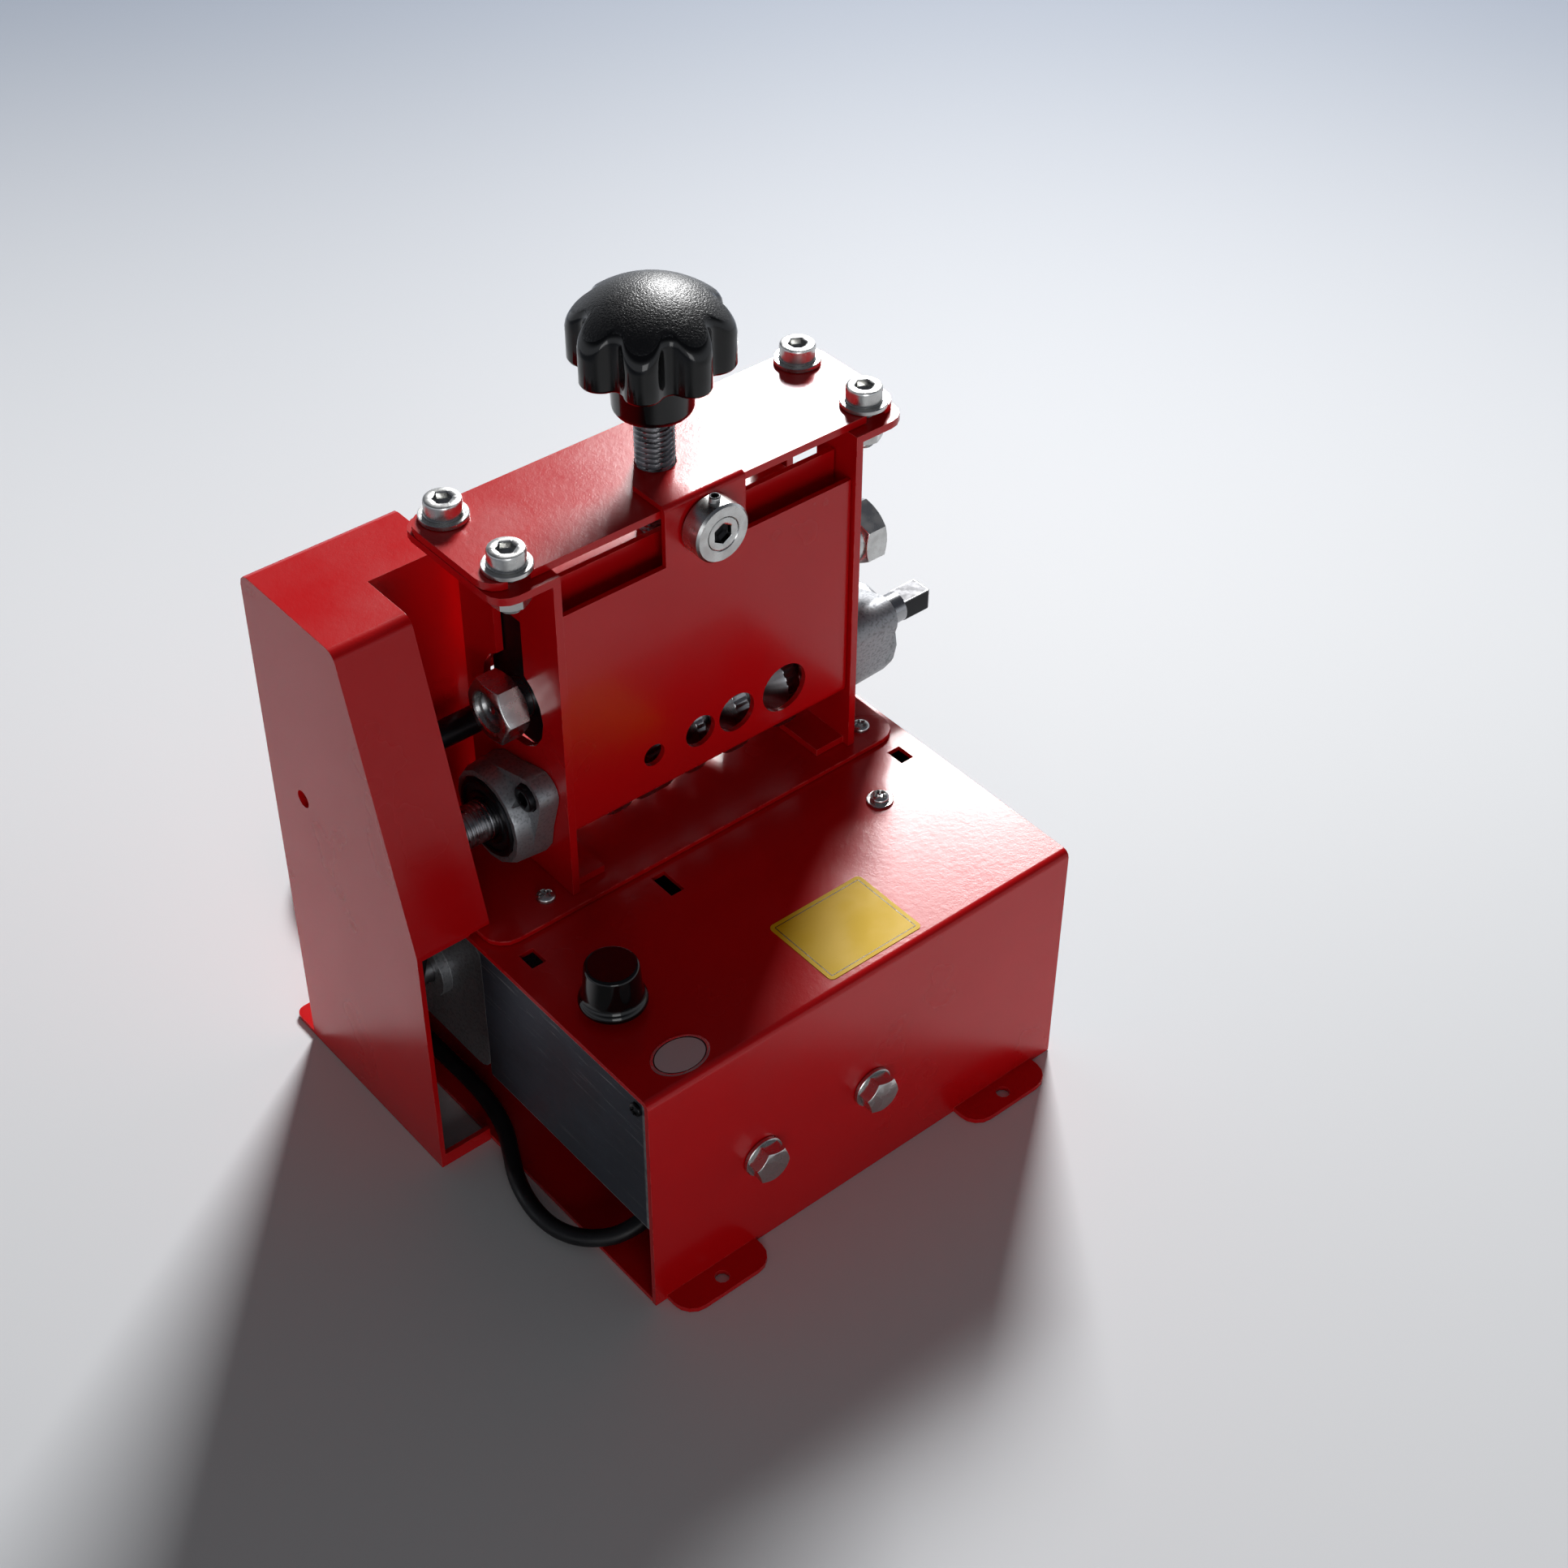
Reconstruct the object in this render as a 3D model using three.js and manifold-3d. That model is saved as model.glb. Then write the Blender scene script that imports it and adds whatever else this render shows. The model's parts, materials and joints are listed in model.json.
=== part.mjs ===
// Bench-top cable stripping machine. A folded sheet base holds a geared motor and its speed control.
// A toothed belt under a guard turns a grooved feed roller, and disc blades on a screwed-down carriage
// slit the cable that is pushed through the holes of the front cover.
// Millimetres, +Z up, X along the shafts, the cable outlet faces -Y, origin under the middle of the base.
import * as THREE from 'three'
import { mergeVertices } from 'three/addons/utils/BufferGeometryUtils.js'
import Module from 'manifold-3d'

const wasm = await Module()
wasm.setup()

// General
const seat = 0.3
const overrun = 1
const chamfer = 1
const land = 1
const mergeDistance = 1e-4
const fineSides = 28
const roundSides = 16
const boltSides = 10
const bendSteps = 3
const cornerSteps = 4
const hexChamferShare = 0.6

// Base shell, open at both ends
const baseLength = 192
const baseDepth = 190
const baseHeight = 104
const baseSheet = 2
const baseBend = 1
const tabReach = 12
const tabWidth = 40
const tabCorner = 8
const tabHole = 5.5
const tabInsetLeft = 5
const tabInsetRight = 10
const slotWidth = 5.8
const slotEndLength = 8
const slotMiddleLength = 11.8
const slotFromFront = 79
const slotFromEnds = 11
const slotMiddle = 70
const cordFromLeft = 8

// Galvanised control tray at the left end and the closing plate at the right end
const traySheet = 1
const trayBend = 1
const trayInset = 0.6
const trayFloor = 37
const trayReach = 30
const trayLip = 8
const trayDepth = 94
const endFlange = 10
const panelScrewShank = 3
const panelScrewInset = 4.5

// Speed control
const knobFromLeft = 18.6
const knobFromFront = 42.8
const knobSkirtDiameter = 24
const knobSkirtHeight = 4.5
const knobSkirtRimShare = 0.4
const knobTopDiameter = 19
const knobHeight = 17
const knobFacets = 14
const knobEdge = 1.2
const potDiameter = 17
const potDepth = 9
const potBush = 7
const potBushNut = 10
const potNutHeight = 2.2
const potShaft = 6
const potShaftLength = 14
const boardWidth = 22
const boardLength = 68
const boardThickness = 1.6
const boardStand = 4
const boardPartHeight = 18
const boardPostShares = [[0.12, 0.06], [0.88, 0.06], [0.12, 0.94], [0.88, 0.94]]
const heatSinkShares = [[0.15, 0.3], [0.15, 0.6]]
const capacitorShares = [0.65, 0.3]
const capacitorWidthShare = 0.4
const capacitorHeightShare = 0.8
const terminalShares = [[0.2, 0.8], [0.75, 0.9]]
const terminalHeightShare = 0.5

// Motor, gearbox and belt drive
const motorAxisY = 50
const motorDiameter = 70
const motorLength = 104
const motorCapLength = 16
const motorCapDiameter = 72
const motorVentDepth = 1.5
const motorVents = 8
const motorVentShares = [0.8, 0.3]
const motorVentWidth = 8
const motorEdge = 2
const motorEdgeLength = 1
const gearboxWidth = 66
const gearboxLength = 28
const gearboxCorner = 8
const gearboxFromLeft = 10
const gearboxGrooveShares = [0.3, 0.36]
const gearboxBoss = 24
const gearboxBossLength = 4
const driveShaftDiameter = 12
const pulleyTeeth = 12
const pulleyPitch = 5.08
const pulleyToothDepth = 1.3
const pulleyToothShares = [[0.08, 0], [0.48, 0], [0.62, 1], [0.94, 1]]
const pulleyWidth = 12
const pulleyFlange = 1.2
const pulleyFlangeLip = 1.4
const pulleyFromLeft = 2
const beltThickness = 1.6
const beltWidth = 9
const cradleSheet = 3
const cradleBend = 3
const cradleFlange = 60
const cradleRearFlange = 18
const cradleFromLeft = 39
const cradleWidth = 76
const saddleWidth = 44
const saddleSpanShare = 0.6
const cradleBoltFromLeft = [48, 98.7]
const cradleBoltHeight = 45
const cradleBoltShank = 8
const cradleBoltHead = 13
const cradleBoltHeadHeight = 5.5
const cradleWasher = 16
const cradleWasherThickness = 1.6
const cradleNutHeight = 6.5

// Side frames and the plate that they stand on
const frameSheet = 3
const frameBend = 2
const frameCentre = 8.5
const frameWidth = 131
const frameFront = -2
const frameRear = 55
const frameRise = 140
const frameFoot = 16
const earReach = 21
const earCorner = 8
const framePlateFront = -7
const framePlateRear = 62
const framePlateSheet = 2
const framePlateInset = 3
const framePlateCorner = 9
const frameScrewShank = 5
const frameScrewEdge = 10.5
const keyholeWidth = 16
const keyholeDiameter = 35

// Roller and blade shafts
const shaftAxisY = 27
const rollerRise = 28
const shaftSpacing = 45
const shaftDiameter = 15
const driveStub = 28.7
const squareWidth = 9
const squareLength = 14
const shoulderDiameter = 12
const rollerDiameter = 40
const rollerCollar = 24
const rollerCollarLength = 6
const guideCentres = [-18, 2.5, 19, 41]
const guideDiameters = [9, 13, 16, 20]
const grooveWidthShare = 0.92
const grooveDepthShare = 0.4
const grooveFloorShare = 0.1
const rollerEndLand = 6
const bladeDiameter = 48
const bladeThickness = 3
const bladeEdge = 5
const bladeHub = 20
const shaftNut = 22
const shaftNutHeight = 10.5
const shaftNutGap = 0.5
const shaftTail = 2.5
const shaftSleeve = 20
const shaftSleeveLength = 19

// Flange bearings
const bearingBoss = 40
const bearingDepth = 14
const bearingStandRight = 16
const bearingFlangeDepth = 8
const bearingEar = 15
const bearingEarSpacing = 48
const bearingTurnShare = 0.125
const bearingInsert = 31
const bearingInsertProud = 1
const bearingBossTaper = 1
const bearingBossEdge = 2
const bearingPocketShare = 0.6
const bearingBolt = 6
const bearingBoltHead = 10
const bearingBoltHeadHeight = 5
const bearingBoltSocket = 5
const bearingBoltSocketDepth = 2
const earSteps = 6
const bossSteps = 3

// Blade carriage
const carriageCheek = 6
const carriageDepth = 32
const carriageSlide = 0.5
const carriageBend = 4
const carriageDrop = 24
const carriageRoof = 6
const carriageSkirt = 17
const carriageLipHeight = 14
const carriageLipSheet = 2

// Top plate, its bolts, the spindle and the star knob
const topSheet = 3
const topFront = 2.5
const topRear = 52
const topCorner = 8
const topBoltSpacing = 150
const topBoltRows = [9, 44.5]
const topBolt = 8
const topBoltHead = 13
const topBoltHeadHeight = 5
const topBoltSocket = 6
const topBoltSocketDepth = 2.5
const topWasher = 17
const topWasherThickness = 1.6
const topSpring = 13.6
const topSpringThickness = 0.8
const topNut = 13
const topNutHeight = 6.5
const topBoltTail = 3
const spindleShift = 2
const spindleDiameter = 14
const spindleTip = 8
const spindleTipLength = 10
const spindleNut = 22
const spindleNutHeight = 10
const clipDiameter = 14
const clipThickness = 2.5
const knobLift = 23.5
const hubLength = 17.5
const hubDiameter = 28
const hubTopDiameter = 29
const hubEdge = 3
const starThickness = 28.5
const domeHeight = 12.5
const starDiameter = 56
const starLobes = 8
const starLobe = 6.5
const starHollow = 4
const starLobeSteps = 5
const starHollowSteps = 3
const knobRimEdge = 1.5
const domeSteps = 4

// Front and rear covers
const coverSheet = 2
const coverBend = 2
const coverFront = 0
const coverSideGap = 0.5
const coverOverlap = 1
const windowHeight = 18
const coverLip = 6
const coverHoleRise = 17
const bracketWidth = 34
const bracketFold = 17
const coverFlange = 8
const coverFlangeRise = 11
const rearCoverFace = 54
const rearCoverHeight = 54
const collarDiameter = 22
const collarWidth = 9
const collarDrop = 7
const collarScrew = 8
const collarScrewHead = 12
const collarScrewHeadHeight = 3
const collarSocket = 5
const collarNut = 13
const collarNutHeight = 4
const setScrew = 4
const setScrewProud = 2

// Belt guard
const guardSheet = 2
const guardBend = 3
const guardReach = 22
const guardRear = 93
const guardRise = 118
const guardTopFront = 35.5
const guardKneeFront = 5
const guardKneeRise = 4
const guardFrontWidth = 30
const guardRearWidth = 60
const guardRearDepth = 32
const guardStepReach = 9
const guardPortFoot = 6
const guardTab = 14
const guardHole = 7
const guardHoleY = 71.5
const guardHoleRise = 4
const pillarDiameter = 10
const pillarStud = 4
const pillarNut = 7
const pillarNutHeight = 3.2
const pillarY = 48
const pillarRise = 25

// Mains lead, with its boot, bracket, coil, tie and plug
const leadDiameter = 6.5
const leadSides = 8
const leadStep = 15
const bootFromLeft = 58
const bootFromFront = 25
const bootHeight = 16.5
const bootLength = 22
const bootRoot = 13
const bootTip = 9.5
const bootNeck = 10
const bootTail = 8
const bootTaperShare = 0.2
const clampPlate = 2
const clampWidth = 26
const clampRise = 20
const clampFoot = 16
const cordNotch = 11
const cordNotchHeight = 12
const coilLoops = 5.375
const coilTail = 19.5
const coilStepsPerLoop = 24
const coilSides = 6
const coilMiddleRadius = 36
const coilPitch = 7.2
const coilClimbLoops = 0.5
const coilX = -34
const coilY = 147
const tieWidth = 9
const tieThickness = 0.8
const tieSlack = 0.35
const plugLength = 38
const plugWidth = 24
const plugNeckLength = 14
const plugNeck = 12
const plugNeckFlare = 2
const plugCornerShare = 0.7
const plugPin = 4.8
const plugPinLength = 19
const plugPinTip = 2.4
const plugPinSpacing = 19

// Places that follow from the sizes
const xLeft = -baseLength / 2
const xRight = baseLength / 2
const yFront = -baseDepth / 2
const yRear = baseDepth / 2
const insideTop = baseHeight - baseSheet
const platformTop = baseHeight + seat + framePlateSheet
const frameTop = baseHeight + frameRise
const rollerAxisZ = baseHeight + rollerRise
const bladeAxisZ = rollerAxisZ + shaftSpacing
const motorAxisZ = baseHeight / 2
const frameLeft = frameCentre - frameWidth / 2
const frameRight = frameCentre + frameWidth / 2
const innerLeft = frameLeft + frameSheet
const innerRight = frameRight - frameSheet
const topUnder = frameTop + seat
const topUpper = topUnder + topSheet
const spindleX = frameCentre - spindleShift
const carriageTop = frameTop - carriageDrop
const carriageFoot = bladeAxisZ - carriageSkirt
const hubBottom = frameTop + knobLift
const knobHeadBottom = hubBottom + hubLength
const knobHeadTop = knobHeadBottom + starThickness
const knobRim = knobHeadTop - domeHeight
const coverBottom = rollerAxisZ - coverOverlap
const coverTop = frameTop - windowHeight
const coverHoleHeight = rollerAxisZ + coverHoleRise
const coverFlangeFoot = coverHoleHeight + coverFlangeRise
const rearCoverBottom = coverTop - rearCoverHeight
const collarHeight = frameTop - collarDrop
const bearingFaceLeft = frameLeft - seat
const bearingFaceRight = frameRight + seat
const pulleyRight = xLeft - pulleyFromLeft
const pulleyLeft = pulleyRight - pulleyWidth
const pulleyRadius = (pulleyTeeth * pulleyPitch) / (2 * Math.PI)
const guardLeft = xLeft - guardReach
const guardTop = baseHeight + guardRise
const guardKneeHeight = baseHeight + guardKneeRise
const guardHoleZ = rollerAxisZ + guardHoleRise
const pillarZ = rollerAxisZ + pillarRise

// Materials
const red = { color: 0xb3121b, roughness: 0.3, metalness: 0.15 }
const galvanised = { color: 0xa8b0b8, roughness: 0.45, metalness: 0.85 }
const zinc = { color: 0xc9ccd0, roughness: 0.3, metalness: 0.95 }
const steel = { color: 0xb4b6ba, roughness: 0.25, metalness: 0.95 }
const castMetal = { color: 0x8f9296, roughness: 0.5, metalness: 0.8 }
const blackPlastic = { color: 0x101113, roughness: 0.3, metalness: 0.0 }
const blackSteel = { color: 0x1b1c1f, roughness: 0.4, metalness: 0.7 }
const rubber = { color: 0x17181a, roughness: 0.7, metalness: 0.0 }
const board = { color: 0x1f5a34, roughness: 0.6, metalness: 0.0 }
const motorPaint = { color: 0x2a2d31, roughness: 0.5, metalness: 0.3 }

// Clean closed body: shared corners, no empty triangles, faces pointing out
function tidy(geometry) {
  const bare = geometry.clone()
  bare.deleteAttribute('normal')
  bare.deleteAttribute('uv')
  const merged = mergeVertices(bare, mergeDistance)
  const corners = merged.index.array
  const place = merged.attributes.position
  const kept = []
  let volume = 0
  const a = new THREE.Vector3()
  const b = new THREE.Vector3()
  const c = new THREE.Vector3()
  for (let i = 0; i < corners.length; i += 3) {
    const [p, q, r] = [corners[i], corners[i + 1], corners[i + 2]]
    if (p === q || q === r || r === p) continue
    kept.push(p, q, r)
    a.fromBufferAttribute(place, p)
    b.fromBufferAttribute(place, q)
    c.fromBufferAttribute(place, r)
    volume += a.dot(b.cross(c))
  }
  if (volume < 0) kept.reverse()
  merged.setIndex(kept)
  return merged
}

function asManifold(geometry) {
  const body = tidy(geometry)
  return new wasm.Manifold(new wasm.Mesh({
    numProp: 3,
    vertProperties: new Float32Array(body.attributes.position.array),
    triVerts: new Uint32Array(body.index.array),
  }))
}

function asGeometry(manifold) {
  const result = manifold.getMesh()
  const geometry = new THREE.BufferGeometry()
  geometry.setAttribute('position', new THREE.BufferAttribute(new Float32Array(result.vertProperties), 3))
  geometry.setIndex(Array.from(result.triVerts))
  return geometry
}

function join(...geometries) {
  return asGeometry(geometries.map(asManifold).reduce((whole, piece) => whole.add(piece)))
}

function cut(geometry, ...tools) {
  return asGeometry(tools.map(asManifold).reduce((whole, tool) => whole.subtract(tool), asManifold(geometry)))
}

function common(geometry, other) {
  return asGeometry(asManifold(geometry).intersect(asManifold(other)))
}

// A drawn shape pushed along one axis, from the first to the second place
function prismZ(shape, z0, z1) {
  const body = new THREE.ExtrudeGeometry(shape, { depth: z1 - z0, bevelEnabled: false })
  return body.translate(0, 0, z0)
}

function prismX(shape, x0, x1) {
  const turn = new THREE.Matrix4().makeBasis(
    new THREE.Vector3(0, 1, 0), new THREE.Vector3(0, 0, 1), new THREE.Vector3(1, 0, 0))
  return prismZ(shape, 0, x1 - x0).applyMatrix4(turn).translate(x0, 0, 0)
}

function prismY(shape, y0, y1) {
  const turn = new THREE.Matrix4().makeBasis(
    new THREE.Vector3(1, 0, 0), new THREE.Vector3(0, 0, 1), new THREE.Vector3(0, -1, 0))
  return prismZ(shape, 0, y1 - y0).applyMatrix4(turn).translate(0, y1, 0)
}

function block(x0, x1, y0, y1, z0, z1) {
  const body = new THREE.BoxGeometry(x1 - x0, y1 - y0, z1 - z0)
  return body.translate((x0 + x1) / 2, (y0 + y1) / 2, (z0 + z1) / 2)
}

// Turned bodies: the profile gives [place along the axis, radius]
function turnedZ(profile, x, y, sides = roundSides) {
  const points = profile.map(([place, radius]) => new THREE.Vector2(radius, place))
  return new THREE.LatheGeometry(points, sides).rotateX(Math.PI / 2).translate(x, y, 0)
}

function turnedX(profile, y, z, sides = roundSides) {
  const points = profile.map(([place, radius]) => new THREE.Vector2(radius, place))
  return new THREE.LatheGeometry(points, sides).rotateZ(-Math.PI / 2).translate(0, y, z)
}

function turnedY(profile, x, z, sides = roundSides) {
  const points = profile.map(([place, radius]) => new THREE.Vector2(radius, place))
  return new THREE.LatheGeometry(points, sides).translate(x, 0, z)
}

function rod(from, to, diameter) {
  return [[from, 0], [from, diameter / 2], [to, diameter / 2], [to, 0]]
}

function ring(from, to, outer, bore) {
  return [[from, bore / 2], [from, outer / 2], [to, outer / 2], [to, bore / 2], [from, bore / 2]]
}

function polygon(points) {
  return new THREE.Shape(points.map(([u, v]) => new THREE.Vector2(u, v)))
}

// Points along an arc, both ends included
function arcPoints(u, v, radius, from, to, steps) {
  const points = []
  for (let i = 0; i <= steps; i += 1) {
    const angle = from + ((to - from) * i) / steps
    points.push([u + radius * Math.cos(angle), v + radius * Math.sin(angle)])
  }
  return points
}

function roundHole(u, v, diameter, sides = boltSides) {
  const points = arcPoints(u, v, diameter / 2, 0, 2 * Math.PI, sides).slice(1)
  return new THREE.Path(points.map(([a, b]) => new THREE.Vector2(a, b)))
}

// Rectangle whose four corners, from the lower left anticlockwise, are rounded one by one
function plateOutline(u0, u1, v0, v1, radii) {
  const corners = [[u0, v0, 1, 1], [u1, v0, -1, 1], [u1, v1, -1, -1], [u0, v1, 1, -1]]
  return polygon(corners.flatMap(([u, v, alongU, alongV], i) => {
    const radius = radii[i]
    const from = Math.PI + (i * Math.PI) / 2
    return radius
      ? arcPoints(u + alongU * radius, v + alongV * radius, radius, from, from + Math.PI / 2, cornerSteps)
      : [[u, v]]
  }))
}

function hexagon(u, v, acrossFlats) {
  const corners = []
  for (let i = 0; i < 6; i += 1) {
    const angle = (i * Math.PI) / 3
    const reach = acrossFlats / Math.sqrt(3)
    corners.push([u + reach * Math.cos(angle), v + reach * Math.sin(angle)])
  }
  return polygon(corners)
}

// Section of a folded sheet: corners of its right-hand face in order, wall to their left, round bends
function foldedSheet(corners, wall, insideRadius) {
  const points = corners.map(([u, v]) => new THREE.Vector2(u, v))
  const along = points.slice(1).map((point, i) => point.clone().sub(points[i]).normalize())
  const left = along.map((way) => new THREE.Vector2(-way.y, way.x))
  const other = points.map((point, i) => {
    const before = left[Math.max(i - 1, 0)]
    const after = left[Math.min(i, left.length - 1)]
    const reach = wall / (1 + before.dot(after))
    return point.clone().addScaledVector(before.clone().add(after), reach)
  })
  const rounded = (line, isRightHand) => {
    const result = [line[0]]
    for (let i = 1; i < line.length - 1; i += 1) {
      const turn = along[i - 1].cross(along[i])
      const isInside = isRightHand ? turn < 0 : turn > 0
      const radius = isInside ? insideRadius : insideRadius + wall
      const angle = Math.acos(Math.min(1, along[i - 1].dot(along[i])))
      const tangent = radius * Math.tan(angle / 2)
      const start = line[i].clone().addScaledVector(along[i - 1], -tangent)
      const side = Math.sign(turn)
      const centre = start.clone().addScaledVector(left[i - 1], side * radius)
      for (let step = 0; step <= bendSteps; step += 1) {
        result.push(start.clone().rotateAround(centre, (side * angle * step) / bendSteps))
      }
    }
    result.push(line[line.length - 1])
    return result
  }
  return new THREE.Shape([...rounded(points, true), ...rounded(other, false).reverse()])
}

// Hexagon nut or head with the corners turned off on both faces
function hexHead(turned, prism, u, v, acrossFlats, from, to, bore) {
  const corner = acrossFlats / Math.sqrt(3)
  const fall = (corner - acrossFlats / 2) * hexChamferShare
  const cap = turned([[from, 0], [from, acrossFlats / 2], [from + fall, corner], [to - fall, corner],
    [to, acrossFlats / 2], [to, 0]], u, v, boltSides)
  const body = common(prism(hexagon(u, v, acrossFlats), from, to), cap)
  return bore ? cut(body, turned(rod(from - overrun, to + overrun, bore), u, v)) : body
}

const machine = new THREE.Group()

function add(name, geometry, finish) {
  const mesh = new THREE.Mesh(tidy(geometry), new THREE.MeshStandardMaterial(finish))
  mesh.name = name
  machine.add(mesh)
  return mesh
}

// Base
const cordX = xLeft + cordFromLeft
const knobX = xLeft + knobFromLeft
const knobY = yFront + knobFromFront
const cradleBoltX = cradleBoltFromLeft.map((place) => xLeft + place)
const slotPlaces = [xLeft + slotFromEnds, xLeft + slotMiddle, xRight - slotFromEnds]
const tabLeft = xLeft + tabInsetLeft
const tabRight = xRight - tabInsetRight - tabWidth
const platformLeft = xLeft + framePlateInset
const platformRight = xRight - framePlateInset
const frameScrewPlaces = [
  [frameLeft - frameFoot / 2, framePlateFront + frameScrewEdge],
  [frameRight + frameFoot / 2, framePlateFront + frameScrewEdge],
]

function footTab(x0, front) {
  const radii = front ? [tabCorner, tabCorner, 0, 0] : [0, 0, tabCorner, tabCorner]
  const y0 = front ? yFront - tabReach : yRear - baseSheet
  const y1 = front ? yFront + baseSheet : yRear + tabReach
  const outline = plateOutline(x0, x0 + tabWidth, y0, y1, radii)
  outline.holes.push(roundHole(x0 + tabWidth / 2, front ? yFront - tabReach / 2 : yRear + tabReach / 2, tabHole))
  return prismZ(outline, 0, baseSheet)
}

function baseShell() {
  const section = foldedSheet(
    [[yFront, 0], [yFront, baseHeight], [yRear, baseHeight], [yRear, 0]].reverse(), baseSheet, baseBend)
  const shell = join(prismX(section, xLeft, xRight), footTab(tabLeft, true), footTab(tabRight, true),
    footTab(tabRight, false))
  const slotY = yFront + slotFromFront
  const slotLengths = [slotEndLength, slotMiddleLength, slotEndLength]
  const slots = slotPlaces.map((x, i) => block(x - slotWidth / 2, x + slotWidth / 2,
    slotY - slotLengths[i] / 2, slotY + slotLengths[i] / 2, insideTop - overrun, baseHeight + overrun))
  const dialHole = turnedZ(rod(insideTop - overrun, baseHeight + overrun, potBush + seat), knobX, knobY, boltSides)
  const boltHoles = cradleBoltX.map((x) => turnedY(
    rod(yFront - overrun, yFront + baseSheet + overrun, cradleBoltShank + 2 * seat), x, cradleBoltHeight, boltSides))
  const frameHoles = frameScrewPlaces.map(([x, y]) => turnedZ(
    rod(insideTop - overrun, baseHeight + overrun, frameScrewShank + 2 * seat), x, y, boltSides))
  const notch = block(cordX - cordNotch / 2, cordX + cordNotch / 2, yRear - baseSheet - overrun, yRear + overrun,
    -overrun, cordNotchHeight)
  return cut(shell, ...slots, dialHole, ...boltHoles, ...frameHoles, notch)
}

add('base_shell', baseShell(), red)

const innerFront = yFront + baseSheet + seat
const innerRear = yRear - baseSheet - seat
const bottomTop = baseSheet
add('bottom_plate', block(xLeft, xRight, innerFront, innerRear, 0, bottomTop), red)

// Control tray: side face, shelf and turned-up lip, with a folded front edge
const trayFront = innerFront
const trayBack = trayFront + trayDepth
const trayTop = insideTop - seat - baseBend / 2
const trayFace = xLeft + trayInset
const trayScrewY = trayFront + panelScrewInset
const trayScrewZ = trayTop - panelScrewInset
function controlTray() {
  const section = foldedSheet([[trayFace, trayTop], [trayFace, trayFloor],
    [xLeft + trayReach, trayFloor], [xLeft + trayReach, trayFloor + trayLip]], traySheet, trayBend)
  const edge = block(trayFace + traySheet / 2, trayFace + endFlange, trayFront, trayFront + traySheet,
    trayFloor + trayBend, trayTop)
  const hole = turnedX(rod(trayFace - overrun, trayFace + traySheet + overrun, panelScrewShank + 2 * seat),
    trayScrewY, trayScrewZ, boltSides)
  return cut(join(prismY(section, trayFront, trayBack), edge), hole)
}
add('control_tray', controlTray(), galvanised)

// Closing plate at the right end, folded inwards at the front and the rear
const endFace = xRight - trayInset
const endScrews = [
  [innerFront + panelScrewInset, trayScrewZ], [innerRear - panelScrewInset, trayScrewZ],
  [innerFront + panelScrewInset, panelScrewInset + bottomTop + seat],
  [innerRear - panelScrewInset, panelScrewInset + bottomTop + seat],
]
function endPlate() {
  const section = foldedSheet([[endFace - endFlange, innerFront], [endFace, innerFront], [endFace, innerRear],
    [endFace - endFlange, innerRear]], traySheet, trayBend)
  const holes = endScrews.map(([y, z]) => turnedX(
    rod(endFace - traySheet - overrun, endFace + overrun, panelScrewShank + 2 * seat), y, z, boltSides))
  return cut(prismZ(section, bottomTop + seat, trayTop), ...holes)
}
add('right_end_plate', endPlate(), galvanised)

// Speed control: potentiometer with its bush and nut, the knob, and the board on the tray shelf
const dialFace = baseHeight + seat + potNutHeight
function speedControl() {
  const body = turnedZ(rod(insideTop - seat - potDepth, insideTop - seat, potDiameter), knobX, knobY)
  const bush = turnedZ(rod(insideTop - seat - overrun, dialFace + overrun, potBush), knobX, knobY, boltSides)
  const shaft = turnedZ(rod(insideTop - seat - overrun, baseHeight + potShaftLength, potShaft),
    knobX, knobY, boltSides)
  const nut = hexHead(turnedZ, prismZ, knobX, knobY, potBushNut, baseHeight + seat, dialFace)
  return join(body, bush, shaft, nut)
}
add('speed_control', speedControl(), zinc)

const knobBottom = dialFace + 2 * seat
function speedKnob() {
  const skirt = turnedZ([[knobBottom, 0], [knobBottom, knobSkirtDiameter / 2],
    [knobBottom + knobSkirtHeight * knobSkirtRimShare, knobSkirtDiameter / 2],
    [knobBottom + knobSkirtHeight, knobTopDiameter / 2 + knobEdge], [knobBottom + knobSkirtHeight, 0]],
  knobX, knobY, fineSides)
  const top = knobBottom + knobHeight
  const body = turnedZ([[knobBottom, 0], [knobBottom, knobTopDiameter / 2 + knobEdge],
    [top - knobEdge, knobTopDiameter / 2], [top, knobTopDiameter / 2 - knobEdge], [top, 0]],
  knobX, knobY, knobFacets)
  const bore = turnedZ(rod(knobBottom - overrun, baseHeight + potShaftLength + seat, potShaft + 2 * seat),
    knobX, knobY, boltSides)
  const recess = turnedZ(rod(knobBottom - overrun, dialFace + overrun + seat, potBush + 2 * seat),
    knobX, knobY, boltSides)
  return cut(join(skirt, body), bore, recess)
}
add('speed_knob', speedKnob(), blackPlastic)

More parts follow.
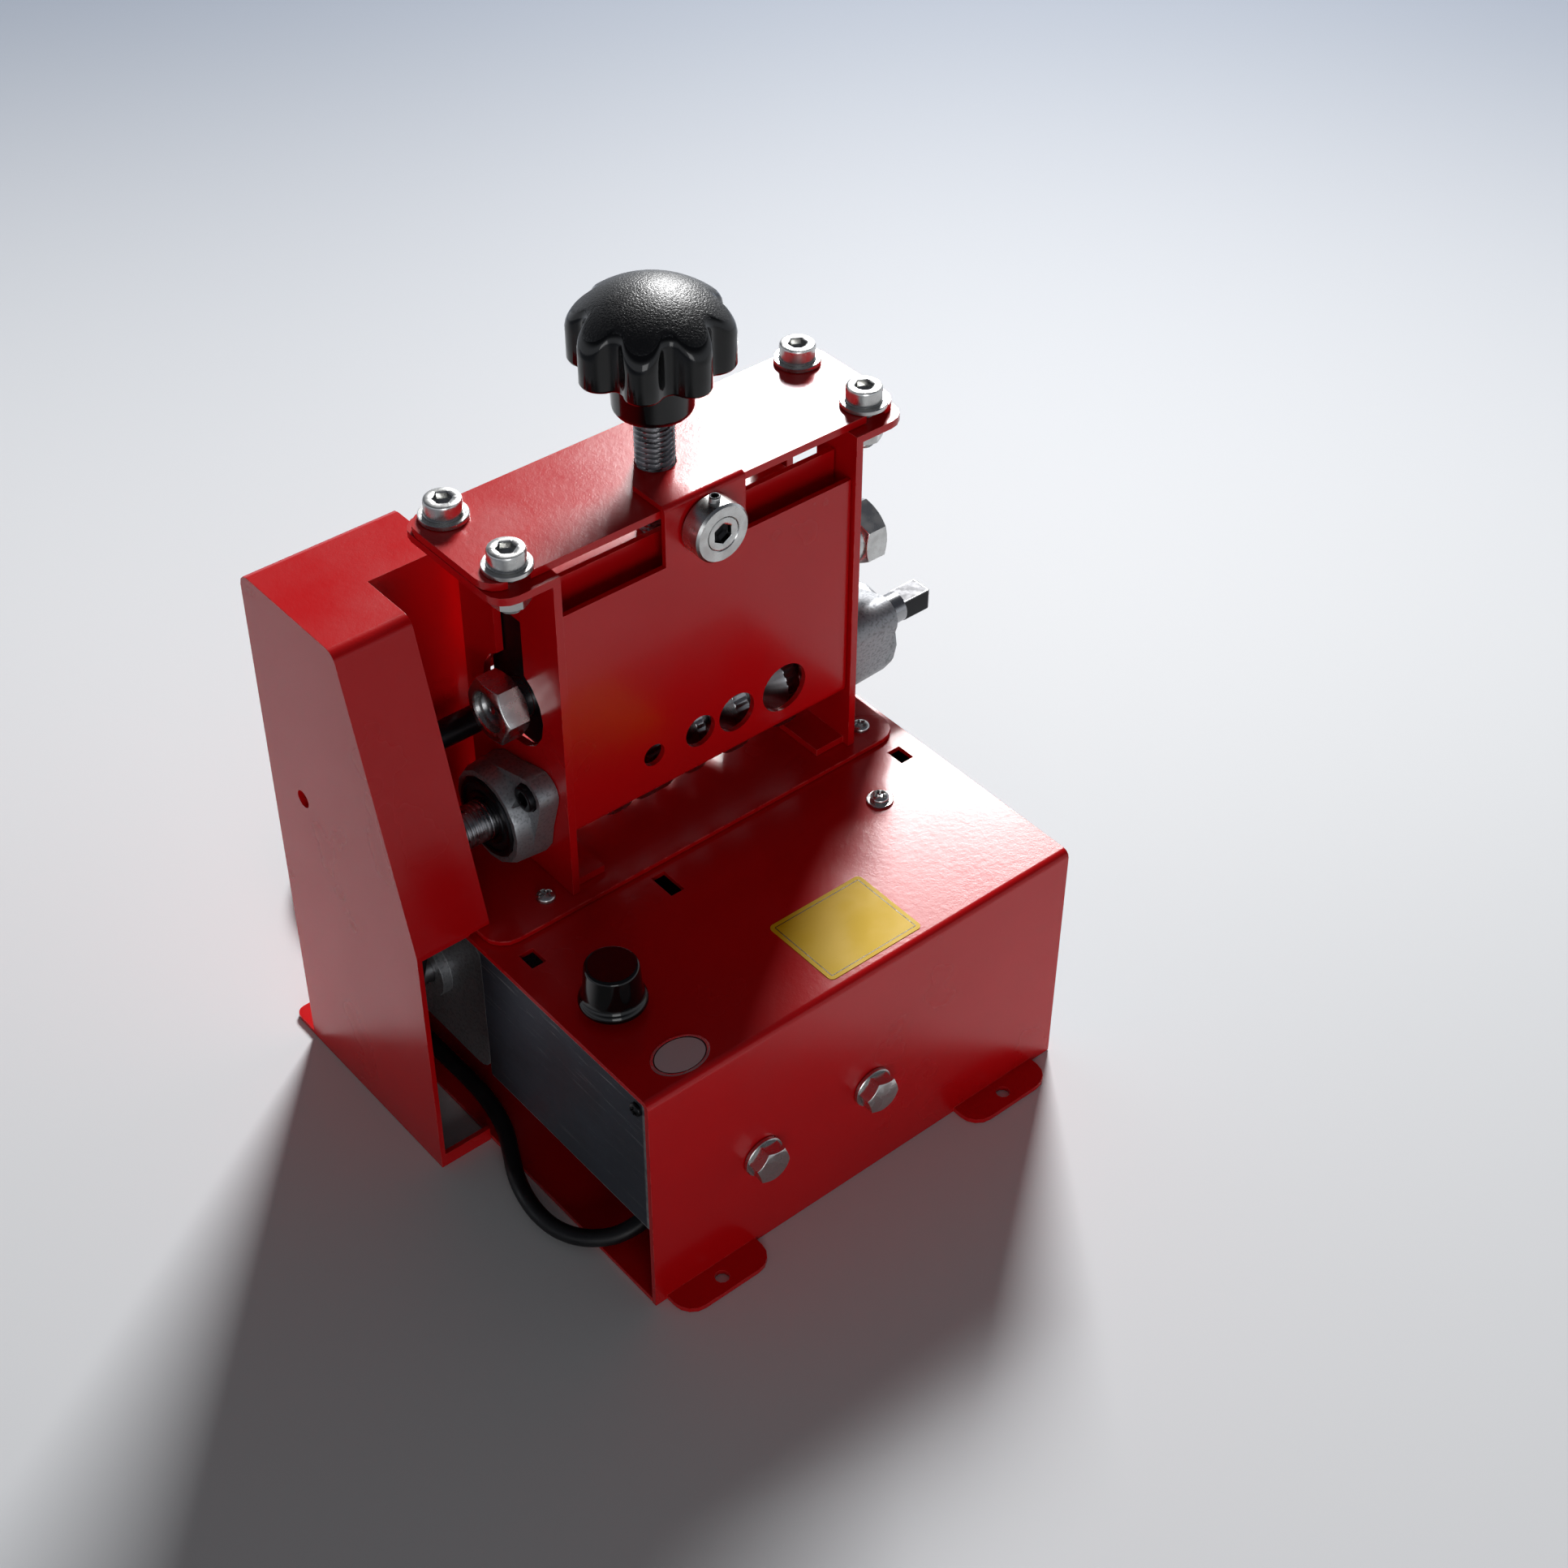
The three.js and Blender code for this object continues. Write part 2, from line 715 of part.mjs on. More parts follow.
function controlBoard() {
  const x0 = trayFace + traySheet + boardStand / 2
  const y0 = trayFront + traySheet + boardStand
  const z0 = trayFloor + traySheet + boardStand
  const z1 = z0 + boardThickness
  const plate = block(x0, x0 + boardWidth, y0, y0 + boardLength, z0, z1)
  const posts = boardPostShares.map(([u, v]) => turnedZ(rod(trayFloor + traySheet + seat, z0 + boardThickness / 2,
    boardStand), x0 + u * boardWidth, y0 + v * boardLength, boltSides))
  const onBoard = ([across, along], height) => block(x0 + across[0] * boardWidth, x0 + across[1] * boardWidth,
    y0 + along[0] * boardLength, y0 + along[1] * boardLength, z1 - boardThickness / 2, z1 + height)
  const heatSink = onBoard(heatSinkShares, boardPartHeight)
  const terminal = onBoard(terminalShares, boardPartHeight * terminalHeightShare)
  const capacitor = turnedZ(rod(z1 - boardThickness / 2, z1 + boardPartHeight * capacitorHeightShare,
    boardWidth * capacitorWidthShare), x0 + capacitorShares[0] * boardWidth, y0 + capacitorShares[1] * boardLength,
  boltSides)
  return join(plate, ...posts, heatSink, capacitor, terminal)
}
add('control_board', controlBoard(), board)

// Motor pan: folded from one sheet, bolted to the front wall, lying on the bottom plate
const cradleLeft = xLeft + cradleFromLeft
const cradleRight = cradleLeft + cradleWidth
const cradleFloor = bottomTop + seat
function motorCradle() {
  const section = foldedSheet([[innerFront, cradleFlange], [innerFront, cradleFloor], [innerRear, cradleFloor],
    [innerRear, cradleFloor + cradleRearFlange]], cradleSheet, cradleBend)
  const holes = cradleBoltX.map((x) => turnedY(rod(innerFront - overrun, innerFront + cradleSheet + overrun,
    cradleBoltShank + 2 * seat), x, cradleBoltHeight, boltSides))
  return cut(prismX(section, cradleLeft, cradleRight), ...holes)
}
add('motor_cradle', motorCradle(), galvanised)

function cradleBolt(x) {
  const washerFace = yFront - seat - cradleWasherThickness
  const washer = turnedY(rod(washerFace, yFront - seat, cradleWasher), x, cradleBoltHeight)
  const head = hexHead(turnedY, prismY, x, cradleBoltHeight, cradleBoltHead,
    washerFace - cradleBoltHeadHeight, washerFace + seat)
  const nutFace = innerFront + cradleSheet + seat
  const shank = turnedY(rod(washerFace, nutFace + cradleNutHeight + overrun, cradleBoltShank),
    x, cradleBoltHeight, boltSides)
  const nut = hexHead(turnedY, prismY, x, cradleBoltHeight, cradleBoltHead, nutFace, nutFace + cradleNutHeight)
  return join(washer, head, shank, nut)
}
cradleBoltX.forEach((x, i) => add(`cradle_bolt_${i + 1}`, cradleBolt(x), zinc))

// Gearbox and motor on one axis, above the pan on two saddles
const gearboxLeft = xLeft + gearboxFromLeft
const gearboxRight = gearboxLeft + gearboxLength
const motorLeft = gearboxRight + seat
const motorRight = motorLeft + motorLength
function gearbox() {
  const half = gearboxWidth / 2
  const radii = [gearboxCorner, gearboxCorner, gearboxCorner, gearboxCorner]
  const outline = plateOutline(motorAxisY - half, motorAxisY + half, motorAxisZ - half, motorAxisZ + half, radii)
  const housing = prismX(outline, gearboxLeft, gearboxRight)
  const groove = cut(
    prismX(plateOutline(motorAxisY - half - overrun, motorAxisY + half + overrun, motorAxisZ - half - overrun,
      motorAxisZ + half + overrun, radii), gearboxLeft + gearboxLength * gearboxGrooveShares[0],
      gearboxLeft + gearboxLength * gearboxGrooveShares[1]),
    prismX(plateOutline(motorAxisY - half + overrun, motorAxisY + half - overrun, motorAxisZ - half + overrun,
      motorAxisZ + half - overrun, radii), gearboxLeft, gearboxRight))
  const boss = turnedX(rod(gearboxLeft - gearboxBossLength, gearboxLeft + overrun, gearboxBoss), motorAxisY,
    motorAxisZ)
  const bore = turnedX(rod(gearboxLeft - gearboxBossLength - overrun, gearboxLeft + gearboxLength / 2,
    driveShaftDiameter + 2 * seat), motorAxisY, motorAxisZ)
  return cut(join(housing, boss), groove, bore)
}
add('gearbox', gearbox(), castMetal)

function motor() {
  const cap = motorCapDiameter / 2
  const can = motorDiameter / 2
  const profile = [[motorLeft, 0], [motorLeft, cap - motorEdge], [motorLeft + motorEdgeLength, cap],
    [motorLeft + motorCapLength, cap], [motorLeft + motorCapLength, can],
    [motorRight - motorCapLength, can], [motorRight - motorCapLength, cap],
    [motorRight - motorEdgeLength, cap], [motorRight, cap - motorEdge], [motorRight, 0]]
  const vents = []
  for (let i = 0; i < motorVents; i += 1) {
    const slot = block(motorRight - motorCapLength * motorVentShares[0], motorRight - motorCapLength *
      motorVentShares[1], -motorVentWidth / 2, motorVentWidth / 2, cap - motorVentDepth, cap + overrun)
    vents.push(slot.rotateX((2 * i * Math.PI) / motorVents).translate(0, motorAxisY, motorAxisZ))
  }
  return cut(turnedX(profile, motorAxisY, motorAxisZ), ...vents)
}
add('motor', motor(), motorPaint)

const saddleFoot = cradleFloor + cradleSheet + seat
function saddle(x) {
  const half = (motorDiameter / 2) * saddleSpanShare
  const blank = block(x - saddleWidth / 2, x + saddleWidth / 2, motorAxisY - half, motorAxisY + half, saddleFoot,
    motorAxisZ - motorDiameter / 4)
  return cut(blank, turnedX(rod(motorLeft, motorRight, motorDiameter + 2 * seat), motorAxisY, motorAxisZ, fineSides))
}
add('motor_saddle', saddle((Math.max(motorLeft, cradleLeft) + cradleRight) / 2), galvanised)

add('gearbox_shaft', turnedX(rod(pulleyLeft - seat, gearboxLeft + gearboxLength / 2 - seat, driveShaftDiameter),
  motorAxisY, motorAxisZ), steel)

// Toothed pulleys with a flange on each side
function pulley(y, z, bore) {
  const outline = []
  for (let i = 0; i < pulleyTeeth; i += 1) {
    const turn = (2 * Math.PI) / pulleyTeeth
    pulleyToothShares.forEach(([share, depth]) => {
      const radius = pulleyRadius - depth * pulleyToothDepth
      const angle = (i + share) * turn
      outline.push([y + radius * Math.cos(angle), z + radius * Math.sin(angle)])
    })
  }
  const toothed = prismX(polygon(outline), pulleyLeft, pulleyRight)
  const lip = 2 * (pulleyRadius + pulleyFlangeLip)
  const flanges = [
    turnedX(rod(pulleyLeft, pulleyLeft + pulleyFlange, lip), y, z),
    turnedX(rod(pulleyRight - pulleyFlange, pulleyRight, lip), y, z),
  ]
  return cut(join(toothed, ...flanges), turnedX(rod(pulleyLeft - overrun, pulleyRight + overrun, bore), y, z))
}
add('drive_pulley', pulley(motorAxisY, motorAxisZ, driveShaftDiameter + 2 * seat), zinc)
add('driven_pulley', pulley(shaftAxisY, rollerAxisZ, driveShaftDiameter + 2 * seat), zinc)

// Belt: two half rounds and two straight runs round both pulleys
function driveBelt() {
  const run = new THREE.Vector2(shaftAxisY - motorAxisY, rollerAxisZ - motorAxisZ)
  const lean = run.angle()
  const loop = (radius) => {
    const points = []
    for (let i = 0; i <= roundSides / 2; i += 1) {
      const angle = lean - Math.PI / 2 + (i * 2 * Math.PI) / roundSides
      points.push([shaftAxisY + radius * Math.cos(angle), rollerAxisZ + radius * Math.sin(angle)])
    }
    for (let i = 0; i <= roundSides / 2; i += 1) {
      const angle = lean + Math.PI / 2 + (i * 2 * Math.PI) / roundSides
      points.push([motorAxisY + radius * Math.cos(angle), motorAxisZ + radius * Math.sin(angle)])
    }
    return points
  }
  const inner = pulleyRadius + seat
  const outline = polygon(loop(inner + beltThickness))
  outline.holes.push(polygon(loop(inner)))
  const middle = (pulleyLeft + pulleyRight) / 2
  return prismX(outline, middle - beltWidth / 2, middle + beltWidth / 2)
}
add('drive_belt', driveBelt(), rubber)

// Plate under the frame, bolted to the top of the base
function frameBase() {
  const outline = plateOutline(platformLeft, platformRight, framePlateFront, framePlateRear,
    [framePlateCorner, framePlateCorner, framePlateCorner, framePlateCorner])
  frameScrewPlaces.forEach(([x, y]) => outline.holes.push(roundHole(x, y, frameScrewShank + 2 * seat)))
  return prismZ(outline, baseHeight + seat, platformTop)
}
add('frame_base', frameBase(), red)

// Side frames: inward foot, upright with a keyhole for the blade shaft, outward ear
const bearingTurn = bearingTurnShare * 2 * Math.PI
const earStep = [(-bearingEarSpacing / 2) * Math.sin(bearingTurn), (bearingEarSpacing / 2) * Math.cos(bearingTurn)]
const bearingBoltPlaces = [
  [shaftAxisY + earStep[0], rollerAxisZ + earStep[1]],
  [shaftAxisY - earStep[0], rollerAxisZ - earStep[1]],
]
const topBoltX = [frameCentre - topBoltSpacing / 2, frameCentre + topBoltSpacing / 2]
function framePlate(way) {
  const outer = way < 0 ? frameLeft : frameRight
  const inner = outer - way * frameSheet
  const foot = platformTop + seat
  const wall = block(Math.min(outer, inner), Math.max(outer, inner), frameFront, frameRear, foot, frameTop)
  const footEnd = outer - way * frameFoot
  const footPlate = block(Math.min(outer, footEnd), Math.max(outer, footEnd), frameFront + frameSheet,
    frameRear - frameSheet, foot, foot + frameSheet)
  const earEnd = outer + way * earReach
  const earLeft = Math.min(inner, earEnd)
  const earRight = Math.max(inner, earEnd)
  const radii = way < 0 ? [earCorner, 0, 0, earCorner] : [0, earCorner, earCorner, 0]
  const earOutline = plateOutline(earLeft, earRight, frameFront, frameRear, radii)
  const boltX = way < 0 ? topBoltX[0] : topBoltX[1]
  topBoltRows.forEach((y) => earOutline.holes.push(roundHole(boltX, y, topBolt + 2 * seat)))
  const ear = prismZ(earOutline, frameTop - frameSheet, frameTop)
  const from = Math.min(outer, inner) - overrun
  const to = Math.max(outer, inner) + overrun
  const round = turnedX(rod(from, to, keyholeDiameter), shaftAxisY, bladeAxisZ)
  const slot = block(from, to, shaftAxisY - keyholeWidth / 2, shaftAxisY + keyholeWidth / 2, bladeAxisZ,
    frameTop - frameSheet)
  const bore = turnedX(rod(from, to, bearingInsert + 2 * seat), shaftAxisY, rollerAxisZ)
  const bolts = bearingBoltPlaces.map(([y, z]) => turnedX(rod(from, to, bearingBolt + 2 * seat), y, z, boltSides))
  if (way < 0) bolts.push(turnedX(rod(from, to, pillarStud + 2 * seat), pillarY, pillarZ, boltSides))
  return cut(join(wall, footPlate, ear), round, slot, bore, ...bolts)
}
add('frame_plate_left', framePlate(-1), red)
add('frame_plate_right', framePlate(1), red)

// Flange bearings on the outer faces of the side frames
function ovalOutline(centre, ear, reach, turn) {
  const points = []
  const lean = Math.asin((centre - ear) / reach)
  const arc = (offset, radius, from, to, steps) => {
    for (let i = 0; i <= steps; i += 1) {
      const angle = from + ((to - from) * i) / steps
      const u = offset + radius * Math.cos(angle)
      const v = radius * Math.sin(angle)
      points.push([shaftAxisY + u * Math.cos(turn) - v * Math.sin(turn),
        rollerAxisZ + u * Math.sin(turn) + v * Math.cos(turn)])
    }
  }
  const quarter = Math.PI / 2
  arc(reach, ear, lean - quarter, quarter - lean, earSteps)
  arc(0, centre, quarter - lean, quarter + lean, bossSteps)
  arc(-reach, ear, quarter + lean, 3 * quarter - lean, earSteps)
  arc(0, centre, 3 * quarter - lean, 3 * quarter + lean, bossSteps)
  return polygon(points)
}

function bearingHousing(face, way, stand) {
  const outline = ovalOutline(bearingBoss / 2 - bearingBossTaper, bearingEar / 2, bearingEarSpacing / 2,
    Math.PI / 2 + bearingTurn)
  const span = (depth) => [Math.min(face, face + way * depth), Math.max(face, face + way * depth)]
  const flange = prismX(outline, ...span(stand + bearingFlangeDepth))
  const far = face + way * (stand + bearingDepth)
  const boss = turnedX([[face, 0], [face, bearingBoss / 2], [far - way * bearingBossEdge,
    bearingBoss / 2 - bearingBossTaper], [far, bearingBoss / 2 - bearingBossEdge], [far, 0]], shaftAxisY, rollerAxisZ)
  const bore = turnedX(rod(Math.min(face, far) - overrun, Math.max(face, far) + overrun, bearingInsert + 2 * seat),
    shaftAxisY, rollerAxisZ)
  const head = bearingBoltHead + 4 * seat
  const pocketFace = face + way * (stand + bearingFlangeDepth * bearingPocketShare)
  const pockets = bearingBoltPlaces.map(([y, z]) => turnedX(
    rod(Math.min(pocketFace, far + way * overrun), Math.max(pocketFace, far + way * overrun), head), y, z, boltSides))
  const holes = bearingBoltPlaces.map(([y, z]) => turnedX(
    rod(Math.min(face, far) - overrun, Math.max(face, far) + overrun, bearingBolt + 2 * seat), y, z, boltSides))
  return cut(join(flange, boss), bore, ...holes, ...pockets)
}
add('bearing_housing_left', bearingHousing(bearingFaceLeft, -1, 0), castMetal)
add('bearing_housing_right', bearingHousing(bearingFaceRight, 1, bearingStandRight), castMetal)

function bearingRing(back, way) {
  const far = back + way * (bearingDepth + bearingInsertProud)
  return turnedX(ring(Math.min(back, far), Math.max(back, far), bearingInsert, shaftDiameter + 2 * seat),
    shaftAxisY, rollerAxisZ)
}
const bearingBackRight = bearingFaceRight + bearingStandRight
add('bearing_insert_left', bearingRing(bearingFaceLeft, -1), blackSteel)
add('bearing_insert_right', bearingRing(bearingBackRight, 1), blackSteel)

// Socket-head cap screw on +X or -X side, with its nut behind the side frame
function bearingScrew(face, way, stand, y, z) {
  const headBase = face + way * (stand + bearingFlangeDepth * bearingPocketShare + seat)
  const headTop = headBase + way * bearingBoltHeadHeight
  const nutFace = face - way * (frameSheet + 2 * seat)
  const nutEnd = nutFace - way * bearingBoltHeadHeight
  const head = turnedX(rod(headBase, headTop, bearingBoltHead), y, z, boltSides)
  const shank = turnedX(rod(headBase + way * seat, nutEnd - way * overrun, bearingBolt), y, z, boltSides)
  const nut = prismX(hexagon(y, z, bearingBoltHead), Math.min(nutFace, nutEnd), Math.max(nutFace, nutEnd))
  const socketFloor = headTop - way * bearingBoltSocketDepth
  const socketEnd = headTop + way * overrun
  const socket = prismX(hexagon(y, z, bearingBoltSocket), Math.min(socketFloor, socketEnd),
    Math.max(socketFloor, socketEnd))
  return cut(join(head, shank, nut), socket)
}
const bearingSides = [['left', bearingFaceLeft, -1, 0], ['right', bearingFaceRight, 1, bearingStandRight]]
bearingSides.forEach(([side, face, way, stand]) => bearingBoltPlaces.forEach(([y, z], i) => {
  add(`bearing_bolt_${side}_${i + 1}`, bearingScrew(face, way, stand, y, z), blackSteel)
}))

// Roller shaft with its square drive end, and the grooved feed roller
function rollerShaft() {
  const bearingEnd = bearingBackRight + bearingDepth + bearingInsertProud + land
  const shaftReach = bearingEnd + driveStub - land
  const squareStart = shaftReach - squareLength
  const hub = pulleyRight + land
  const round = turnedX([[pulleyLeft - seat, 0], [pulleyLeft - seat, driveShaftDiameter / 2],
    [hub, driveShaftDiameter / 2], [hub, shaftDiameter / 2],
    [bearingEnd, shaftDiameter / 2], [bearingEnd, shoulderDiameter / 2],
    [squareStart + overrun, shoulderDiameter / 2], [squareStart + overrun, 0]], shaftAxisY, rollerAxisZ)
  const half = squareWidth / 2
  const drive = prismX(plateOutline(shaftAxisY - half, shaftAxisY + half, rollerAxisZ - half, rollerAxisZ + half,
    [chamfer, chamfer, chamfer, chamfer]), squareStart, shaftReach)
  return join(round, drive)
}
add('roller_shaft', rollerShaft(), steel)

const grooves = guideCentres.map((centre, i) => {
  const width = guideDiameters[i] * grooveWidthShare
  return { x: centre, width, depth: width * grooveDepthShare }
})
const rollerLeft = grooves[0].x - grooves[0].width / 2 - rollerEndLand
const rollerRight = grooves[3].x + grooves[3].width / 2 + rollerEndLand
function feedRoller() {
  const radius = rollerDiameter / 2
  const profile = [[rollerLeft - rollerCollarLength, rollerCollar / 2], [rollerLeft, rollerCollar / 2],
    [rollerLeft, radius - chamfer], [rollerLeft + chamfer, radius]]
  grooves.forEach(({ x, width, depth }) => {
    profile.push([x - width / 2, radius], [x - width * grooveFloorShare, radius - depth],
      [x + width * grooveFloorShare, radius - depth], [x + width / 2, radius])
  })
  profile.push([rollerRight - chamfer, radius], [rollerRight, radius - chamfer], [rollerRight, rollerCollar / 2],
    [rollerRight + rollerCollarLength, rollerCollar / 2])
  const bore = shaftDiameter / 2 + seat
  profile.push([rollerRight + rollerCollarLength, bore], [rollerLeft - rollerCollarLength, bore])
  profile.push(profile[0])
  return turnedX(profile, shaftAxisY, rollerAxisZ, fineSides)
}
add('feed_roller', feedRoller(), steel)

// Blade shaft, its end nuts, the disc blades and the sleeves between them
const nutLeftOuter = frameLeft - shaftNutGap - shaftNutHeight
const sleeveFace = frameRight + shaftNutGap
const nutRightInner = sleeveFace + shaftSleeveLength
const nutRightOuter = nutRightInner + shaftNutHeight
const shaftLeftEnd = nutLeftOuter + shaftTail
add('blade_shaft', turnedX([[shaftLeftEnd, 0], [shaftLeftEnd, shaftDiameter / 2 - chamfer],
  [shaftLeftEnd + chamfer, shaftDiameter / 2], [nutRightOuter + shaftTail - chamfer, shaftDiameter / 2],
  [nutRightOuter + shaftTail, shaftDiameter / 2 - chamfer], [nutRightOuter + shaftTail, 0]], shaftAxisY, bladeAxisZ),
steel)
add('shaft_nut_left', hexHead(turnedX, prismX, shaftAxisY, bladeAxisZ, shaftNut, nutLeftOuter,
  nutLeftOuter + shaftNutHeight, shaftDiameter + 2 * seat), zinc)
const sleeveNut = hexHead(turnedX, prismX, shaftAxisY, bladeAxisZ, shaftNut, nutRightInner, nutRightOuter,
  shaftDiameter + 2 * seat)
add('shaft_nut_right', join(sleeveNut, turnedX(ring(sleeveFace, nutRightInner + overrun, shaftSleeve,
  shaftDiameter + 2 * seat), shaftAxisY, bladeAxisZ)), zinc)

// Each blade has its distance sleeve on its right, and the first one has another on its left
const bladeBore = shaftDiameter / 2 + seat
const cheekLeftInner = innerLeft + carriageSlide + carriageCheek
const cheekRightInner = innerRight - carriageSlide - carriageCheek
function cutterBlade(i) {
  const x = grooves[i].x
  const half = bladeThickness / 2
  const radius = bladeDiameter / 2
  const hub = bladeHub / 2
  const start = i === 0 ? cheekLeftInner + seat : x - half
  const end = i === grooves.length - 1 ? cheekRightInner - seat : grooves[i + 1].x - half - seat
  const lead = i === 0 ? [[start, bladeBore], [start, hub], [x - half, hub]] : [[start, bladeBore]]
  return turnedX([...lead, [x - half, radius - bladeEdge], [x, radius], [x + half, radius - bladeEdge],
    [x + half, hub], [end, hub], [end, bladeBore], lead[0]], shaftAxisY, bladeAxisZ, fineSides)
}
grooves.forEach((groove, i) => add(`cutter_blade_${i + 1}`, cutterBlade(i), steel))

// Carriage: roof, two cheeks on the blade shaft and a raised front lip
const carriageFront = shaftAxisY - carriageDepth / 2
const carriageRear = shaftAxisY + carriageDepth / 2
const carriageLeft = innerLeft + carriageSlide
const carriageRight = innerRight - carriageSlide
function carriage() {
  const section = foldedSheet([[carriageLeft, carriageFoot], [carriageLeft, carriageTop],
    [carriageRight, carriageTop], [carriageRight, carriageFoot]].reverse(), carriageCheek, carriageBend)
  const body = prismY(section, carriageFront, carriageRear)
  const lip = block(carriageLeft, carriageRight, carriageFront - carriageLipSheet, carriageFront + seat,
    carriageTop - carriageRoof, carriageTop + carriageLipHeight)
  const bore = turnedX(rod(carriageLeft - overrun, carriageRight + overrun, shaftDiameter + 2 * seat),
    shaftAxisY, bladeAxisZ)
  const hole = turnedZ(rod(carriageTop - carriageRoof - overrun, carriageTop + overrun, spindleTip + 2 * seat),
    spindleX, shaftAxisY, boltSides)
  return cut(join(body, lip), bore, hole)
}
add('carriage', carriage(), red)

// Top plate with open slots for the front bolts
function topPlate() {
  const left = frameLeft - earReach
  const right = frameRight + earReach
  const outline = plateOutline(left, right, topFront, topRear, [topCorner, topCorner, topCorner, topCorner])
  outline.holes.push(roundHole(spindleX, shaftAxisY, spindleDiameter + 2 * seat, roundSides))
  topBoltX.forEach((x) => outline.holes.push(roundHole(x, topBoltRows[1], topBolt + 2 * seat)))
  const plate = prismZ(outline, topUnder, topUpper)
  const slots = topBoltX.map((x) => join(
    turnedZ(rod(topUnder - overrun, topUpper + overrun, topBolt + 2 * seat), x, topBoltRows[0], boltSides),
    block(x - topBolt / 2 - seat, x + topBolt / 2 + seat, topFront - overrun, topBoltRows[0],
      topUnder - overrun, topUpper + overrun)))
  return cut(plate, ...slots)
}
add('top_plate', topPlate(), red)

// Cap screw with its flat and spring washer and its nut under the ear
const topBoltPlaces = topBoltX.flatMap((x) => topBoltRows.map((y) => [x, y]))
function topBoltSet(x, y) {
  const washerBase = topUpper + seat
  const washerTop = washerBase + topWasherThickness
  const headBase = washerTop + topSpringThickness
  const headTop = headBase + topBoltHeadHeight
  const nutTop = frameTop - frameSheet - seat
  const end = nutTop - topNutHeight - topBoltTail
  const body = turnedZ([[end, 0], [end, topBolt / 2], [washerBase, topBolt / 2], [washerBase, topWasher / 2],
    [washerTop, topWasher / 2], [washerTop, topSpring / 2], [headBase, topSpring / 2],
    [headBase, topBoltHead / 2], [headTop - chamfer, topBoltHead / 2], [headTop, topBoltHead / 2 - chamfer],
    [headTop, 0]], x, y, boltSides)
  const nut = hexHead(turnedZ, prismZ, x, y, topNut, nutTop - topNutHeight, nutTop)
  return cut(join(body, nut), prismZ(hexagon(x, y, topBoltSocket), headTop - topBoltSocketDepth, headTop + overrun))
}
topBoltPlaces.forEach(([x, y], i) => add(`top_bolt_${i + 1}`, topBoltSet(x, y), zinc))

// Spindle with its clip under the carriage roof, and its fixed nut
add('spindle_nut', hexHead(turnedZ, prismZ, spindleX, shaftAxisY, spindleNut, topUnder - seat - spindleNutHeight,
  topUnder - seat, spindleDiameter + 2 * seat), zinc)
const spindleTop = knobHeadBottom + spindleDiameter / 2
const tipBottom = carriageTop - spindleTipLength
const clipTop = carriageTop - carriageRoof - seat
add('spindle', turnedZ([[tipBottom, 0], [tipBottom, spindleTip / 2], [clipTop - clipThickness, spindleTip / 2],
  [clipTop - clipThickness, clipDiameter / 2], [clipTop, clipDiameter / 2], [clipTop, spindleTip / 2],
  [carriageTop + seat, spindleTip / 2], [carriageTop + seat, spindleDiameter / 2],
  [spindleTop, spindleDiameter / 2], [spindleTop, 0]], spindleX, shaftAxisY), steel)

// Star knob: rounded lobes with hollows between them, under a dome, on a tapered hub
function starOutline() {
  const lobeCentre = starDiameter / 2 - starLobe
  const half = Math.PI / starLobes
  const across = lobeCentre * Math.sin(half)
  const hollowCentre = lobeCentre * Math.cos(half) + Math.sqrt((starLobe + starHollow) ** 2 - across ** 2)
  const lean = Math.atan2(across, hollowCentre - lobeCentre * Math.cos(half))
  const points = []
  for (let i = 0; i < starLobes; i += 1) {
    const turn = 2 * i * half
    const lobe = arcPoints(lobeCentre * Math.cos(turn), lobeCentre * Math.sin(turn), starLobe,
      turn - half - lean, turn + half + lean, starLobeSteps)
    const between = turn + half
    const hollow = arcPoints(hollowCentre * Math.cos(between), hollowCentre * Math.sin(between), starHollow,
      between + Math.PI + lean, between + Math.PI - lean, starHollowSteps)
    points.push(...lobe, ...hollow.slice(1, -1))
  }
  return polygon(points)
}

function starKnob() {
  const radius = starDiameter / 2
  const dome = knobHeadTop - knobRim
  const domeRadius = (radius ** 2 + dome ** 2) / (2 * dome)
  const profile = [[knobHeadBottom, 0], [knobHeadBottom, radius - knobRimEdge], [knobHeadBottom + knobRimEdge, radius]]
  for (let i = 0; i <= domeSteps; i += 1) {
    const reach = radius * (1 - i / domeSteps)
    profile.push([knobHeadTop - domeRadius + Math.sqrt(domeRadius ** 2 - reach ** 2), reach])
  }
  const blank = turnedZ(profile, 0, 0, fineSides)
  const head = common(prismZ(starOutline(), knobHeadBottom - overrun, knobHeadTop + overrun), blank)
    .translate(spindleX, shaftAxisY, 0)
  const hub = turnedZ([[hubBottom, 0], [hubBottom, hubDiameter / 2 - hubEdge], [hubBottom + hubEdge, hubDiameter / 2],
    [knobHeadBottom + overrun, hubTopDiameter / 2], [knobHeadBottom + overrun, 0]], spindleX, shaftAxisY, fineSides)
  const bore = turnedZ(rod(hubBottom - overrun, spindleTop + seat, spindleDiameter + 2 * seat), spindleX, shaftAxisY)
  return cut(join(head, hub), bore)
}
add('star_knob', starKnob(), blackPlastic)

